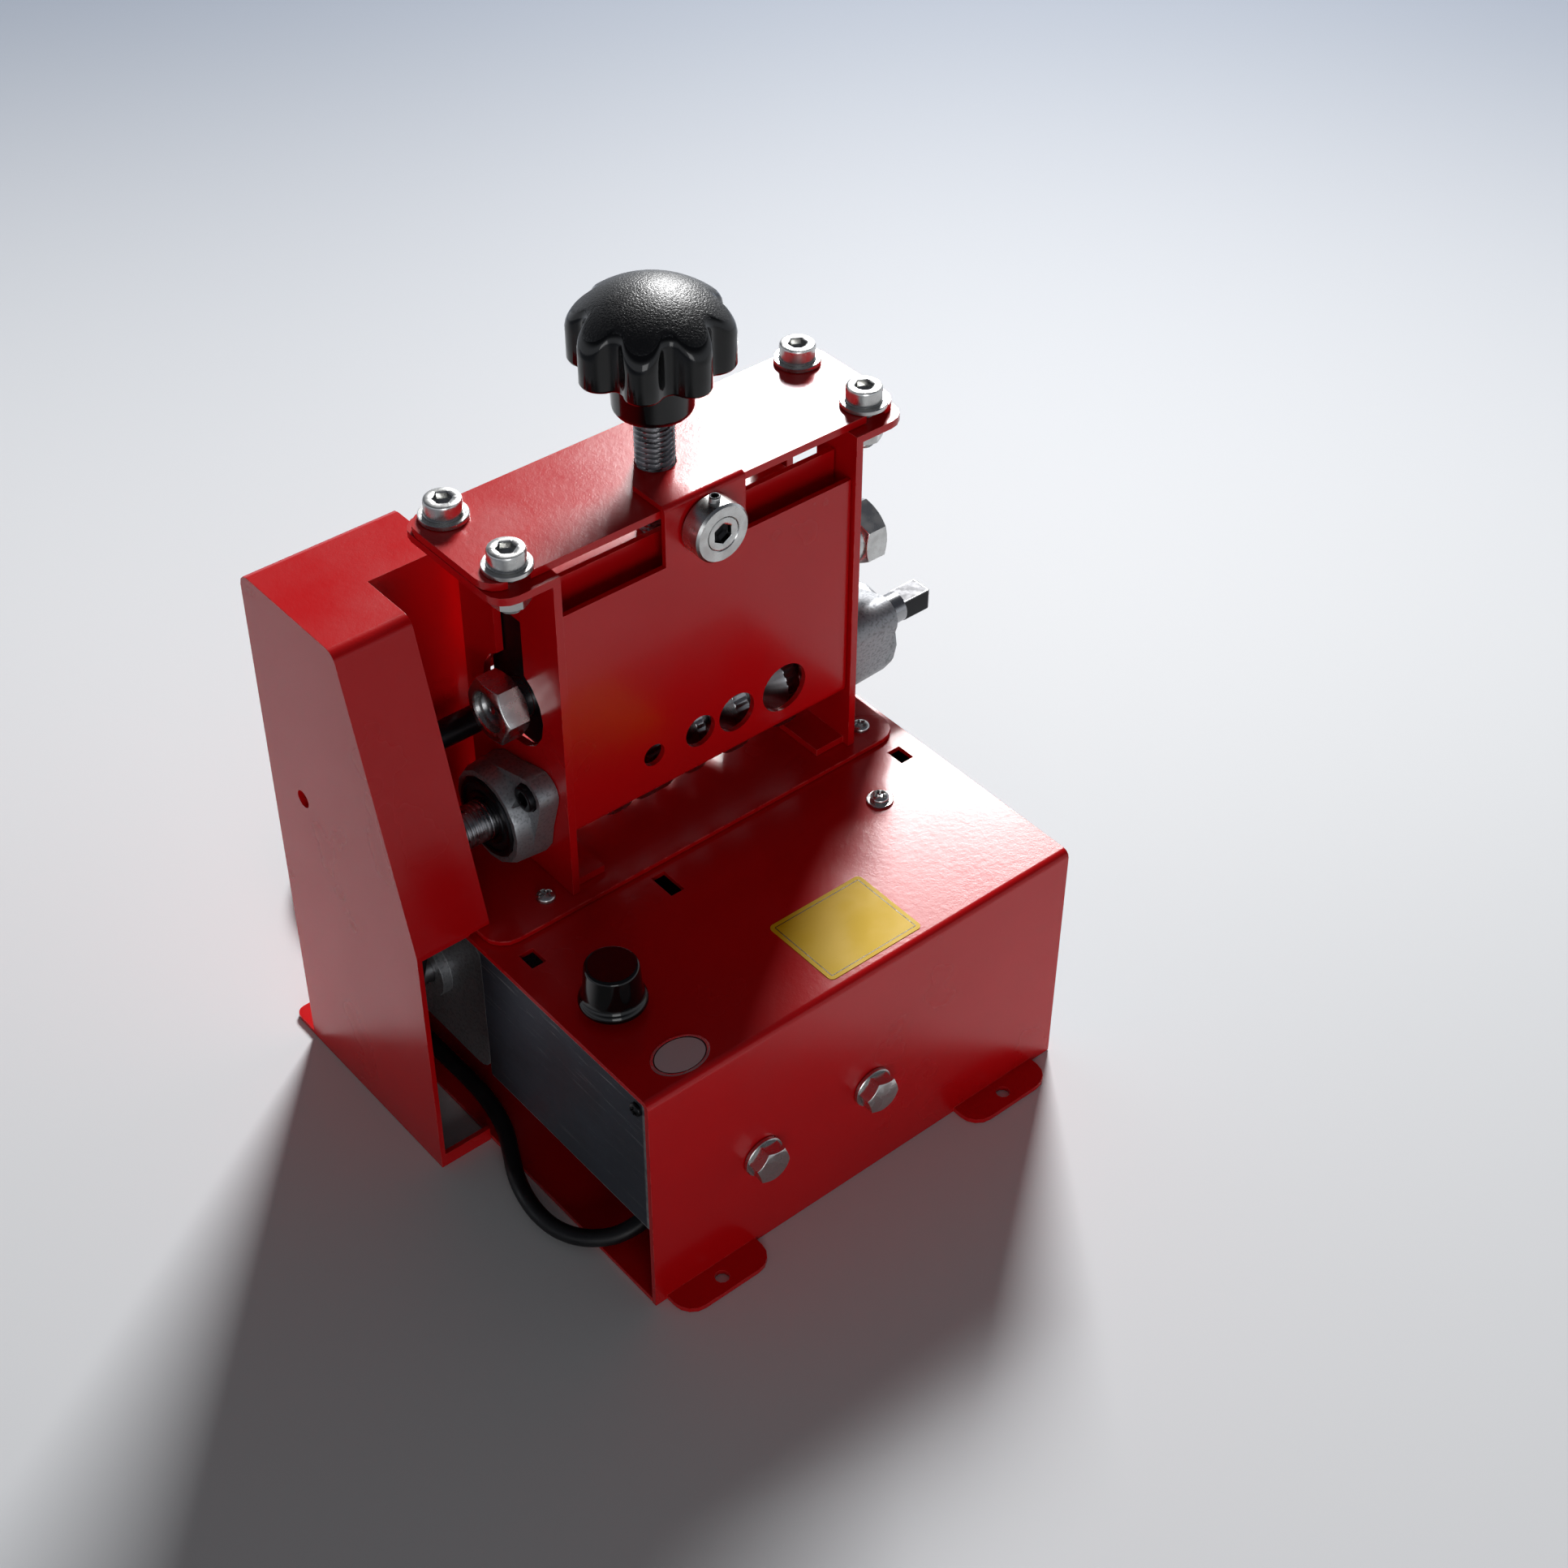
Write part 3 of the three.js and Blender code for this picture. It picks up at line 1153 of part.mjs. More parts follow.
// Front cover: bottom lip, face with guide holes, bracket folded back over the top plate
const coverLeft = innerLeft + coverSideGap
const coverRight = innerRight - coverSideGap
const coverBack = coverFront + coverSheet
const foldTop = topUpper + seat + coverSheet
function frontCover() {
  const face = foldedSheet([[coverFront + coverLip, coverBottom], [coverFront, coverBottom], [coverFront, coverTop]]
    .reverse(), coverSheet, coverBend)
  const body = prismX(face, coverLeft, coverRight)
  const fold = foldedSheet([[coverFront, coverTop - coverBend], [coverFront, foldTop],
    [coverFront + bracketFold, foldTop]].reverse(), coverSheet, seat)
  const bracket = prismX(fold, spindleX - bracketWidth / 2, spindleX + bracketWidth / 2)
  const flanges = [coverLeft, coverRight - coverSheet].map((x) => block(x, x + coverSheet, coverBack - seat,
    coverFront + coverFlange, coverFlangeFoot, coverTop - coverFlange))
  const holes = guideCentres.map((x, i) => turnedY(
    rod(coverFront - overrun, coverBack + overrun, guideDiameters[i]), x, coverHoleHeight, fineSides))
  const screwHole = turnedY(rod(coverFront - overrun, coverBack + overrun, collarScrew + 2 * seat), spindleX,
    collarHeight, boltSides)
  const around = turnedZ(rod(topUpper, foldTop + overrun, spindleNut), spindleX, shaftAxisY)
  return cut(join(body, bracket, ...flanges), ...holes, screwHole, around)
}
add('front_cover', frontCover(), red)

// Rear cover, open below for the stripped cable
function rearCover() {
  const inner = rearCoverFace - coverSheet
  const section = foldedSheet([[coverLeft, inner - coverFlange / 2], [coverLeft, rearCoverFace],
    [coverRight, rearCoverFace], [coverRight, inner - coverFlange / 2]].reverse(), coverSheet, coverBend)
  return prismZ(section, rearCoverBottom, coverTop)
}
add('rear_cover', rearCover(), red)

// Cover clamp: turned collar with its grub screw, and a socket screw through the bracket with a nut behind
const collarBack = coverFront - seat
const collarFace = collarBack - collarWidth
function coverCollar() {
  const body = turnedY([[collarFace, collarScrewHead / 2 + seat], [collarFace, collarDiameter / 2 - chamfer],
    [collarFace + chamfer, collarDiameter / 2], [collarBack - chamfer, collarDiameter / 2],
    [collarBack, collarDiameter / 2 - chamfer], [collarBack, collarScrew / 2 + seat],
    [collarFace + collarScrewHeadHeight + seat, collarScrew / 2 + seat],
    [collarFace + collarScrewHeadHeight + seat, collarScrewHead / 2 + seat],
    [collarFace, collarScrewHead / 2 + seat]], spindleX, collarHeight)
  const grub = turnedZ(rod(collarHeight + collarScrewHead / 2 + overrun, collarHeight + collarDiameter / 2 +
    setScrewProud, setScrew), spindleX, (collarFace + collarBack) / 2, boltSides)
  return join(body, grub)
}
add('cover_collar', coverCollar(), zinc)
function collarScrewBody() {
  const nutFace = coverBack + seat
  const body = turnedY([[collarFace, 0], [collarFace, collarScrewHead / 2],
    [collarFace + collarScrewHeadHeight, collarScrewHead / 2], [collarFace + collarScrewHeadHeight, collarScrew / 2],
    [nutFace + collarNutHeight + overrun, collarScrew / 2], [nutFace + collarNutHeight + overrun, 0]],
  spindleX, collarHeight)
  const nut = hexHead(turnedY, prismY, spindleX, collarHeight, collarNut, nutFace, nutFace + collarNutHeight)
  return cut(join(body, nut), prismY(hexagon(spindleX, collarHeight, collarSocket), collarFace - overrun,
    collarFace + collarScrewHeadHeight))
}
add('collar_screw', collarScrewBody(), blackSteel)

// Belt guard: side plate, folded front, top and rear walls, wider at the rear, with a foot tab. Each
// width has its own front wall, and the wide part's closes the gap beside the frame
const guardInner = guardLeft + guardFrontWidth
const guardRearInner = guardLeft + guardRearWidth
function beltGuard() {
  const front = guardKneeFront
  const outline = [[guardRear, 0], [guardRear, guardTop], [guardTopFront, guardTop], [front, guardKneeHeight],
    [front, 0]]
  const walls = foldedSheet(outline, guardSheet, guardBend)
  const outerFace = walls.getPoints().slice(0, walls.getPoints().length / 2)
  const side = prismX(new THREE.Shape(outerFace), guardLeft, guardLeft + guardSheet)
  const shell = prismX(walls, guardLeft, guardInner)
  const wide = common(prismX(walls, guardInner - overrun, guardRearInner),
    block(guardInner - overrun, guardRearInner, guardRear - guardRearDepth, guardRear, 0, guardTop))
  const step = block(guardInner - guardSheet, guardRearInner + guardStepReach, guardRear - guardRearDepth,
    guardRear - guardRearDepth + guardSheet, platformTop, guardTop - seat)
  const tab = prismZ(plateOutline(guardLeft, guardLeft + guardTab, guardRear - guardSheet, yRear + tabReach,
    [0, 0, tabCorner / 2, tabCorner / 2]), 0, guardSheet)
  const baseRoom = block(xLeft - seat, guardRearInner + overrun, front - overrun, guardRear + overrun,
    -overrun, platformTop + seat)
  const port = block(guardLeft + guardSheet, xLeft, front - overrun,
    front + guardSheet + overrun, guardPortFoot, guardKneeHeight - guardSheet)
  const accessHole = turnedX(rod(guardLeft - overrun, guardLeft + guardSheet + overrun, guardHole), guardHoleY,
    guardHoleZ)
  return cut(join(shell, side, wide, step, tab), baseRoom, port, accessHole)
}
add('belt_guard', beltGuard(), red)

const pillarLeft = guardLeft + guardSheet + seat
const pillarRight = frameLeft - seat
function guardPillar() {
  const nutFace = innerLeft + seat
  const pillar = turnedX(rod(pillarLeft, pillarRight, pillarDiameter), pillarY, pillarZ)
  const stud = turnedX(rod(pillarRight - overrun, nutFace + pillarNutHeight + overrun, pillarStud), pillarY, pillarZ,
    boltSides)
  const nut = hexHead(turnedX, prismX, pillarY, pillarZ, pillarNut, nutFace, nutFace + pillarNutHeight)
  return join(pillar, stud, nut)
}
add('guard_pillar', guardPillar(), blackSteel)

// Lead boot in its bracket on the motor pan
const bootX = xLeft + bootFromLeft
const bootY = yFront + bootFromFront
const clampFloor = cradleFloor + cradleSheet + seat
function cordBracket() {
  const section = foldedSheet([[bootX + clampFoot, clampFloor], [bootX, clampFloor], [bootX, clampFloor + clampRise]]
    .reverse(), clampPlate, seat)
  const plate = prismY(section, bootY - clampWidth / 2, bootY + clampWidth / 2)
  return cut(plate, turnedX(rod(bootX - overrun, bootX + clampPlate + overrun, bootNeck + 2 * seat), bootY,
    bootHeight))
}
add('cord_bracket', cordBracket(), galvanised)
const bootEnd = bootX - seat - bootLength
add('strain_relief', turnedX([[bootEnd, 0], [bootEnd, bootTip / 2], [bootX - seat - bootLength * bootTaperShare, bootRoot / 2],
  [bootX - seat, bootRoot / 2], [bootX - seat, bootNeck / 2], [bootX + clampPlate + seat, bootNeck / 2],
  [bootX + clampPlate + seat, bootRoot / 2], [bootX + 2 * clampPlate, bootRoot / 2],
  [bootX + 2 * clampPlate, leadDiameter / 2], [bootX + 2 * clampPlate + bootTail, leadDiameter / 2],
  [bootX + 2 * clampPlate + bootTail, 0]], bootY, bootHeight), rubber)

// Mains lead: straight out of the boot, one loop past the open end, back along the bottom plate and out
// through the rear notch to the coil
const leadLow = bottomTop + seat + leadDiameter / 2
const coilStart = new THREE.Vector3(coilX - coilOuterRadius(), coilY - leadDiameter, coilLow())
function coilInnerRadius() {
  return coilMiddleRadius - (coilPitch * coilLoops) / 4
}
function coilOuterRadius() {
  return coilMiddleRadius + (coilPitch * coilLoops) / 4
}
function coilLow() {
  return tieThickness + seat + leadDiameter / 2
}
const leadRoute = [
  [bootEnd - seat, bootY, bootHeight],
  [-67, bootY, bootHeight],
  [-76, -69.9, 14],
  [-84, -68.6, 10],
  [-92, -65.2, 7],
  [-100, -58.5, 5.9],
  [-104.6, -50, 5.6],
  [-106, -41, 5.6],
  [-104.9, -30, 5.6],
  [-101.6, -19, 5.6],
  [-96.8, -9, 5.6],
  [-92.2, 1, 5.6],
  [-89.4, 12, 5.6],
  [cordX, 24, 5.6],
  [cordX, 50, 5.6],
  [cordX, 76, 5.6],
  [cordX, 94, 5.6],
  [-87.4, 107, 5.4],
  [-84.6, 119, 4.8],
  [-81.2, 127, coilStart.z],
  [coilStart.x, 134, coilStart.z],
  [coilStart.x, coilStart.y - seat, coilStart.z],
]
function roundSection(diameter, sides) {
  const points = []
  for (let i = 0; i < sides; i += 1) {
    const angle = ((i + 0.5) * 2 * Math.PI) / sides
    points.push([(diameter / 2) * Math.cos(angle), (diameter / 2) * Math.sin(angle)])
  }
  return polygon(points)
}
const leadCurve = new THREE.CatmullRomCurve3(leadRoute.map((point) => new THREE.Vector3(...point)), false, 'centripetal')
const leadSteps = Math.round(leadCurve.getLength() / leadStep)
add('mains_lead', new THREE.ExtrudeGeometry(roundSection(leadDiameter, leadSides),
  { steps: leadSteps, extrudePath: leadCurve, bevelEnabled: false }), rubber)

// Coil: spirals in on the lower layer, climbs in the half turn where it reverses, spirals out above
class CoilCurve extends THREE.Curve {
  getPoint(share, target = new THREE.Vector3()) {
    const straight = leadDiameter
    const middle = coilLoops / 2
    const loopsLength = 2 * Math.PI * coilMiddleRadius * coilLoops
    const whole = loopsLength + straight + coilTail
    const along = share * whole
    const turns = Math.min(Math.max((along - straight) / (loopsLength / coilLoops), 0), coilLoops)
    const radius = coilInnerRadius() + coilPitch * Math.abs(turns - middle)
    const angle = Math.PI - 2 * Math.PI * turns
    const climb = Math.min(Math.max((turns - middle) / coilClimbLoops + 1 / 2, 0), 1)
    const height = coilLow() + coilPitch * climb * climb * (3 - 2 * climb)
    const over = Math.min(along - straight, 0) + Math.max(along - straight - loopsLength, 0)
    return target.set(coilX + radius * Math.cos(angle) + over * Math.sin(angle),
      coilY + radius * Math.sin(angle) - over * Math.cos(angle), height)
  }
}
const coilCurve = new CoilCurve()
const coilSteps = Math.round(coilLoops * coilStepsPerLoop)
function leastCoilGap() {
  const points = coilCurve.getSpacedPoints(coilSteps * 2)
  let least = Infinity
  points.forEach((point, i) => {
    for (let j = i + coilStepsPerLoop; j < points.length; j += 1) {
      least = Math.min(least, point.distanceTo(points[j]))
    }
  })
  return least - leadDiameter
}
console.log(`least gap between the turns of the coil: ${leastCoilGap().toFixed(2)} mm`)
add('lead_coil', new THREE.ExtrudeGeometry(roundSection(leadDiameter, coilSides),
  { steps: coilSteps, extrudePath: coilCurve, bevelEnabled: false }), rubber)

function coilTie() {
  const inner = coilInnerRadius() - leadDiameter / 2 - tieSlack - coilPitch / 4
  const outer = coilOuterRadius() + leadDiameter / 2 + tieSlack
  const low = coilLow() - leadDiameter / 2 - seat
  const high = coilLow() + coilPitch + leadDiameter / 2 + tieSlack
  const x0 = coilX - tieWidth / 2
  const x1 = coilX + tieWidth / 2
  return cut(block(x0, x1, coilY - outer - tieThickness, coilY - inner + tieThickness, low - tieThickness,
    high + tieThickness), block(x0 - overrun, x1 + overrun, coilY - outer, coilY - inner, low, high))
}
add('coil_tie', coilTie(), blackPlastic)

// Plug on the free end, lying on the floor beside the coil
function mainsPlug() {
  const half = coilLow() + coilPitch
  const wide = plugWidth / 2
  const corner = half * plugCornerShare
  const outline = plateOutline(-wide, wide, -half, half, [corner, corner, corner, corner])
  const body = prismY(outline, plugNeckLength, plugLength)
  const neck = turnedY([[0, 0], [0, plugNeck / 2 - chamfer], [plugNeckLength + overrun, plugNeck / 2 + plugNeckFlare],
    [plugNeckLength + overrun, 0]], 0, 0)
  const pins = [-plugPinSpacing / 2, plugPinSpacing / 2].map((x) => turnedY(
    [[plugLength - overrun, 0], [plugLength - overrun, plugPin / 2], [plugLength + plugPinLength - chamfer,
      plugPin / 2], [plugLength + plugPinLength, plugPinTip / 2], [plugLength + plugPinLength, 0]], x, 0, boltSides))
  const end = coilCurve.getPoint(1)
  const way = coilCurve.getTangent(1)
  const plug = join(body, neck, ...pins)
  return plug.translate(0, seat, 0).rotateZ(Math.atan2(-way.x, way.y)).translate(end.x, end.y, end.z)
}
add('mains_plug', mainsPlug(), blackPlastic)

export default machine
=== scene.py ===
import json
import math

import bmesh
import bpy
from mathutils import Matrix, Vector

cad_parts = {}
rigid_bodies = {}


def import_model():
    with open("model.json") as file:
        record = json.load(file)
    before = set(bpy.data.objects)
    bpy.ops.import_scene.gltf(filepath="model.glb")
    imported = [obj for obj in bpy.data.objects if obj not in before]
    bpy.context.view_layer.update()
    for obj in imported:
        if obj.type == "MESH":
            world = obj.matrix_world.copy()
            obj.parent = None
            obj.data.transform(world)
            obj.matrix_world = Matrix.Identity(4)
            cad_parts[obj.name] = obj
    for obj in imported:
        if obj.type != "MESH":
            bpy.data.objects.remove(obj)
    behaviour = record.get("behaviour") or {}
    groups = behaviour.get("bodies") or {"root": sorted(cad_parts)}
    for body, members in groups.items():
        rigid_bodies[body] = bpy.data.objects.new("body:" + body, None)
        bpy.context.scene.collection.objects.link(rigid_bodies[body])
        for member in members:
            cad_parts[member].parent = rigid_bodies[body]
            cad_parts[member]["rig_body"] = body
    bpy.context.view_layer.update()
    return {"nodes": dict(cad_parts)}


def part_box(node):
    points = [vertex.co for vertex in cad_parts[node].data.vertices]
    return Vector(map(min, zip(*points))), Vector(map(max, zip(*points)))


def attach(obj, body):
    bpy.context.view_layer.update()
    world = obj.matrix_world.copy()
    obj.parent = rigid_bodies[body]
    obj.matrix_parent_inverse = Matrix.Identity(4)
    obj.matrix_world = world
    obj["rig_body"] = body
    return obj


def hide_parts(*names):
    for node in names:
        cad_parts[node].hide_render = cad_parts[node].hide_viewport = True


bl_info = {
    "name": "Cable stripping machine",
    "version": (1, 0, 0),
    "blender": (4, 5, 0),
    "location": "View3D > Sidebar > Machine",
    "description": "Dresses the CAD frame of a cable stripping machine for a studio picture",
    "category": "Object",
}

MM = 0.001
TURN = 2 * math.pi
HORIZON = (0.66, 0.69, 0.74)

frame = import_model()


def srgb(red, green, blue):
    """A colour read off a picture, from 0 to 255, as the linear colour that the shader takes."""
    steps = [value / 255 for value in (red, green, blue)]
    return tuple(step / 12.92 if step <= 0.04045 else ((step + 0.055) / 1.055) ** 2.4 for step in steps)


def length(label, text, millimetres):
    """A size that a user can change."""
    return bpy.props.FloatProperty(name=label, description=text, default=millimetres * MM, min=0.0,
                                   precision=5, unit="LENGTH")


def colour(label, text, red, green, blue):
    """A colour that a user can change."""
    return bpy.props.FloatVectorProperty(name=label, description=text, default=srgb(red, green, blue),
                                         min=0.0, max=1.0, size=3, subtype="COLOR")


def factor(label, text, share):
    """A share from 0 to 1 that a user can change."""
    return bpy.props.FloatProperty(name=label, description=text, default=share, min=0.0, max=1.0,
                                   subtype="FACTOR")


def angular(label, text, degrees):
    """An angle that a user can change."""
    return bpy.props.FloatProperty(name=label, description=text, default=math.radians(degrees),
                                   subtype="ANGLE", unit="ROTATION")


def wattage(label, text, watts):
    """A lamp's power that a user can change."""
    return bpy.props.FloatProperty(name=label, description=text, default=watts, min=0.0, unit="POWER")


class MachineColours(bpy.types.PropertyGroup):
    """Colours of the finishes."""
    paint: colour("Paint", "Powder coat on the housing and frame", 214, 8, 16)
    paint_deep: colour("Deep paint", "Powder coat where it is thickest", 176, 4, 10)
    # Pink of rubbed paint on sheet edges, which is also a painted highlight along the edges
    paint_worn_and_highlight: colour("Worn edge and highlight", "Paint rubbed thin on sheet edges", 232, 66, 62)
    galvanised: colour("Galvanised sheet", "Side panels and brackets", 158, 166, 178)
    panel: colour("Side panel", "Dull sheet at both ends of the base", 86, 91, 101)
    zinc: colour("Zinc plate", "Bolts, nuts and washers", 206, 206, 204)
    steel: colour("Turned steel", "Shafts, roller and blades", 178, 178, 180)
    cast: colour("Cast metal", "Bearing housings and gearbox", 158, 160, 163)
    black: colour("Black oxide", "Socket screws and bearing inserts", 26, 26, 28)
    plastic: colour("Black plastic", "Star knob, speed knob and plug", 11, 11, 12)
    rubber: colour("Black rubber", "Belt, lead and strain relief", 20, 20, 22)
    board: colour("Circuit board", "Solder mask of the speed control", 24, 92, 44)
    motor: colour("Motor paint", "Satin paint on the motor", 44, 46, 50)
    yellow: colour("Yellow plate", "Blank plate on the top of the base", 238, 196, 10)
    silver: colour("Silver plate", "Blank oval plate beside the speed knob", 214, 200, 203)
    floor: colour("Floor", "Studio floor", 230, 232, 235)
    # Painted shade on the floor away from the machine, where the lamps' light falls off
    painted_floor_shade: colour("Far floor", "Studio floor away from the machine", 122, 131, 146)


class MachineSizes(bpy.types.PropertyGroup):
    """Sizes of the details that the CAD leaves to the scene."""
    sheet_edge: length("Sheet edge", "Rounding on the edges of painted sheet", 0.35)
    cast_edge: length("Cast edge", "Rounding on the edges of castings", 0.7)
    thread_pitch: length("Thread pitch", "Pitch of the lead screw", 2.0)
    thread_depth: length("Thread depth", "Depth of the lead screw's thread", 1.2)
    flute_depth: length("Flute depth", "Depth of the flutes along the feed roller", 0.35)
    plate_length: length("Plate length", "Long side of the yellow plate", 42)
    plate_width: length("Plate width", "Short side of the yellow plate", 34)
    lead_diameter: length("Lead diameter", "Diameter of the mains lead", 6.5)


class MachineStage(bpy.types.PropertyGroup):
    """Camera, lamps and backdrop."""
    camera_place: bpy.props.FloatVectorProperty(
        name="Camera", description="Where the camera stands", default=(-0.4209, -0.5452, 0.7235), size=3,
        subtype="TRANSLATION", unit="LENGTH")
    azimuth: angular("Azimuth", "Camera's turn about the machine", -40.29)
    elevation: angular("Elevation", "Camera's height above the horizon", 40.97)
    roll: angular("Roll", "Camera's turn about its own axis", 0.49)
    key_power: wattage("Key lamp", "Power of the soft lamp behind and to the right", 115.0)
    fill_power: wattage("Fill lamp", "Power of the soft lamp in front", 4.5)
    daylight: factor("Daylight", "Light from the surroundings", 0.07)


# Nodes written as expressions

class Value:
    """A node's output, on which arithmetic adds Math nodes."""

    def __init__(self, tree, link):
        self.tree = tree
        self.link = link

    def maths(self, operation, first, second):
        return self.tree.node("ShaderNodeMath", {"operation": operation}, {0: first, 1: second})

    def __add__(self, other):
        return self.maths("ADD", self, other)

    def __sub__(self, other):
        return self.maths("SUBTRACT", self, other)

    def __rsub__(self, other):
        return self.maths("SUBTRACT", other, self)

    def __mul__(self, other):
        return self.maths("MULTIPLY", self, other)

    __radd__ = __add__
    __rmul__ = __mul__


class Tree:
    """A node tree that makes every node by one method."""

    def __init__(self, tree):
        self.tree = tree

    def feed(self, node, key, value):
        socket = node.inputs[key]
        if isinstance(value, Value):
            self.tree.links.new(value.link, socket)
        else:
            socket.default_value = value

    def node(self, kind, settings=None, values=None, output=0):
        made = self.tree.nodes.new(kind)
        for name, setting in (settings or {}).items():
            setattr(made, name, setting)
        for key, value in (values or {}).items():
            self.feed(made, key, value)
        return Value(self, made.outputs[output])

    def blend(self, mask, first, second):
        """The first colour where the mask is 0 and the second where it is 1."""
        pair = [tone if isinstance(tone, Value) else (*tone, 1.0) for tone in (first, second)]
        return self.node("ShaderNodeMix", {"data_type": "RGBA"}, {0: mask, 6: pair[0], 7: pair[1]}, 2)

    def larger(self, first, second):
        return first.maths("MAXIMUM", first, second)

    def along(self, place, direction):
        """How far a place lies in a direction."""
        return self.node("ShaderNodeVectorMath", {"operation": "DOT_PRODUCT"}, {0: place, 1: direction},
                         "Value")

    def seen(self):
        """1 for rays from the camera, mirrors and glass, and 0 for the light on the object."""
        path = "ShaderNodeLightPath"
        rays = self.node(path, output="Is Camera Ray")
        for kind in ("Is Glossy Ray", "Is Transmission Ray"):
            rays = self.larger(rays, self.node(path, output=kind))
        return rays

    def ramp(self, value, low, high, start=0.0, end=1.0):
        """start up to low, end past high, and a smooth step between them."""
        return self.node("ShaderNodeMapRange", {"interpolation_type": "SMOOTHSTEP"},
                         {"Value": value, "From Min": low, "From Max": high, "To Min": start, "To Max": end})


class Finish(Tree):
    """A material on the Principled shader, whose patterns follow Object coordinates."""

    def __init__(self, name, slot=None, constants=None):
        self.name = name
        self.material = bpy.data.materials.new(name)
        self.material.use_nodes = True
        self.material["slot"] = slot or name
        super().__init__(self.material.node_tree)
        self.shader = self.tree.nodes["Principled BSDF"]
        for socket, value in (constants or {}).items():
            self.set(socket, value)

    def set(self, socket, value):
        self.feed(self.shader, socket, value)

    def place(self, scale=(1.0, 1.0, 1.0), turn=(0.0, 0.0, 0.0)):
        where = self.node("ShaderNodeTexCoord", output="Object")
        return self.node("ShaderNodeMapping", None, {"Vector": where, "Scale": scale, "Rotation": turn})

    def noise(self, scale, detail=2.0, place=None, rough=0.5):
        return self.node("ShaderNodeTexNoise", None,
                         {"Vector": place or self.place(), "Scale": scale, "Detail": detail,
                          "Roughness": rough}, "Fac")

    def cells(self, scale, place=None, output="Color"):
        return self.node("ShaderNodeTexVoronoi", None,
                         {"Vector": place or self.place(), "Scale": scale}, output)

    def scratches(self, scale, stretch, lean, low, high):
        """1 on fine scratches that lie nearly level, and 0 between them."""
        lines = self.noise(scale, 6.0, self.place(stretch, (lean, 0.0, 0.0)), 0.75)
        return self.ramp(lines, low, high)

    def worn(self):
        """1 on the bevelled edges of a dressed sheet and 0 elsewhere."""
        return self.node("ShaderNodeAttribute", {"attribute_name": "edge"}, output="Fac")

    def bump(self, height, distance, strength=1.0):
        relief = self.node("ShaderNodeBump", None,
                           {"Height": height, "Distance": distance * MM, "Strength": strength})
        self.set("Normal", relief)


finishes = {}


def keep(finish):
    finishes[finish.name] = finish.material


def shaded(tone, share):
    """The tone made darker or lighter."""
    return tuple(share * part for part in tone)


def red_paint(tones):
    coat = Finish("red_paint", constants={"Coat Weight": 0.12, "Coat Roughness": 0.08,
                                          "Specular IOR Level": 0.3})
    peel = coat.noise(420.0)
    grit = coat.noise(1900.0, 1.0)
    cloud = coat.noise(26.0, 3.0)
    # Rubbed edge patches coloured pink: wear, and a painted highlight on the bevels
    rub = coat.ramp(coat.noise(150.0, 4.0), 0.42, 0.60) * coat.worn()
    body = coat.blend(cloud * 0.5, tones.paint, tones.paint_deep)
    coat.set("Base Color", coat.blend(rub * 0.75, body, tones.paint_worn_and_highlight))
    coat.set("Roughness", coat.ramp(cloud, 0.3, 0.7, 0.2, 0.28) + rub * 0.15)
    coat.bump(peel * 0.6 + grit * 0.4, 0.1, 0.6)
    keep(coat)


def galvanised_sheet(tones):
    """Bright sheet with a spangle and scratches, on the parts inside the base."""
    sheet = Finish("galvanised_sheet", constants={"Metallic": 0.9, "Specular IOR Level": 0.5})
    spangle = sheet.node("ShaderNodeSeparateColor", None, {0: sheet.cells(95.0)})
    rolled = sheet.noise(9.0, 5.0, sheet.place((4.0, 22.0, 110.0)), 0.65)
    scratch = sheet.scratches(6.0, (3.0, 9.0, 190.0), 0.05, 0.60, 0.70)
    tone = sheet.blend(spangle * 0.35 + rolled * 0.3, tones.galvanised, shaded(tones.galvanised, 0.72))
    bright = (0.78, 0.80, 0.82)
    sheet.set("Base Color", sheet.blend(scratch * 0.55 + sheet.worn() * 0.6, tone, bright))
    sheet.set("Roughness", sheet.ramp(rolled, 0.3, 0.7, 0.30, 0.46) - scratch * 0.08)
    sheet.bump(rolled * 0.6 + scratch * 0.6, 0.05, 0.5)
    keep(sheet)


def panel_sheet(tones):
    """Dull sheet at the ends of the base; the left one has bright lips below and in front."""
    sheet = Finish("panel_sheet", "galvanised_sheet", {"Metallic": 0.85, "Specular IOR Level": 0.3})
    cloud = sheet.noise(34.0, 4.0)
    rolled = sheet.noise(7.0, 5.0, sheet.place((3.0, 4.0, 60.0)), 0.6)
    where = sheet.node("ShaderNodeTexCoord", output="Object")
    side, forward, height = [sheet.node("ShaderNodeSeparateXYZ", None, {0: where}, axis) for axis in "XYZ"]
    lip = sheet.larger(sheet.ramp(height, 0.0384, 0.0391, 1.0, 0.0),
                       sheet.ramp(forward, -0.0914, -0.0907, 1.0, 0.0))
    patches = sheet.ramp(sheet.noise(240.0, 3.0), 0.3, 0.6, 0.35, 1.0)
    lip = lip * patches * sheet.ramp(side, -0.02, 0.02, 1.0, 0.0)
    scratch = sheet.scratches(5.0, (3.0, 7.0, 170.0), 0.04, 0.57, 0.66)
    scratch = scratch * sheet.ramp(height, 0.07, 0.1, 0.25, 1.0)
    tone = sheet.blend(cloud * 0.45 + rolled * 0.35, tones.panel, shaded(tones.panel, 0.5))
    rub = sheet.larger(scratch * 0.45 + sheet.worn() * 0.8, lip * 0.7)
    sheet.set("Base Color", sheet.blend(rub, tone, tones.zinc))
    sheet.set("Roughness", sheet.ramp(cloud, 0.3, 0.7, 0.34, 0.5) - scratch * 0.08)
    sheet.bump(rolled * 0.6 + scratch * 0.6, 0.04, 0.5)
    keep(sheet)


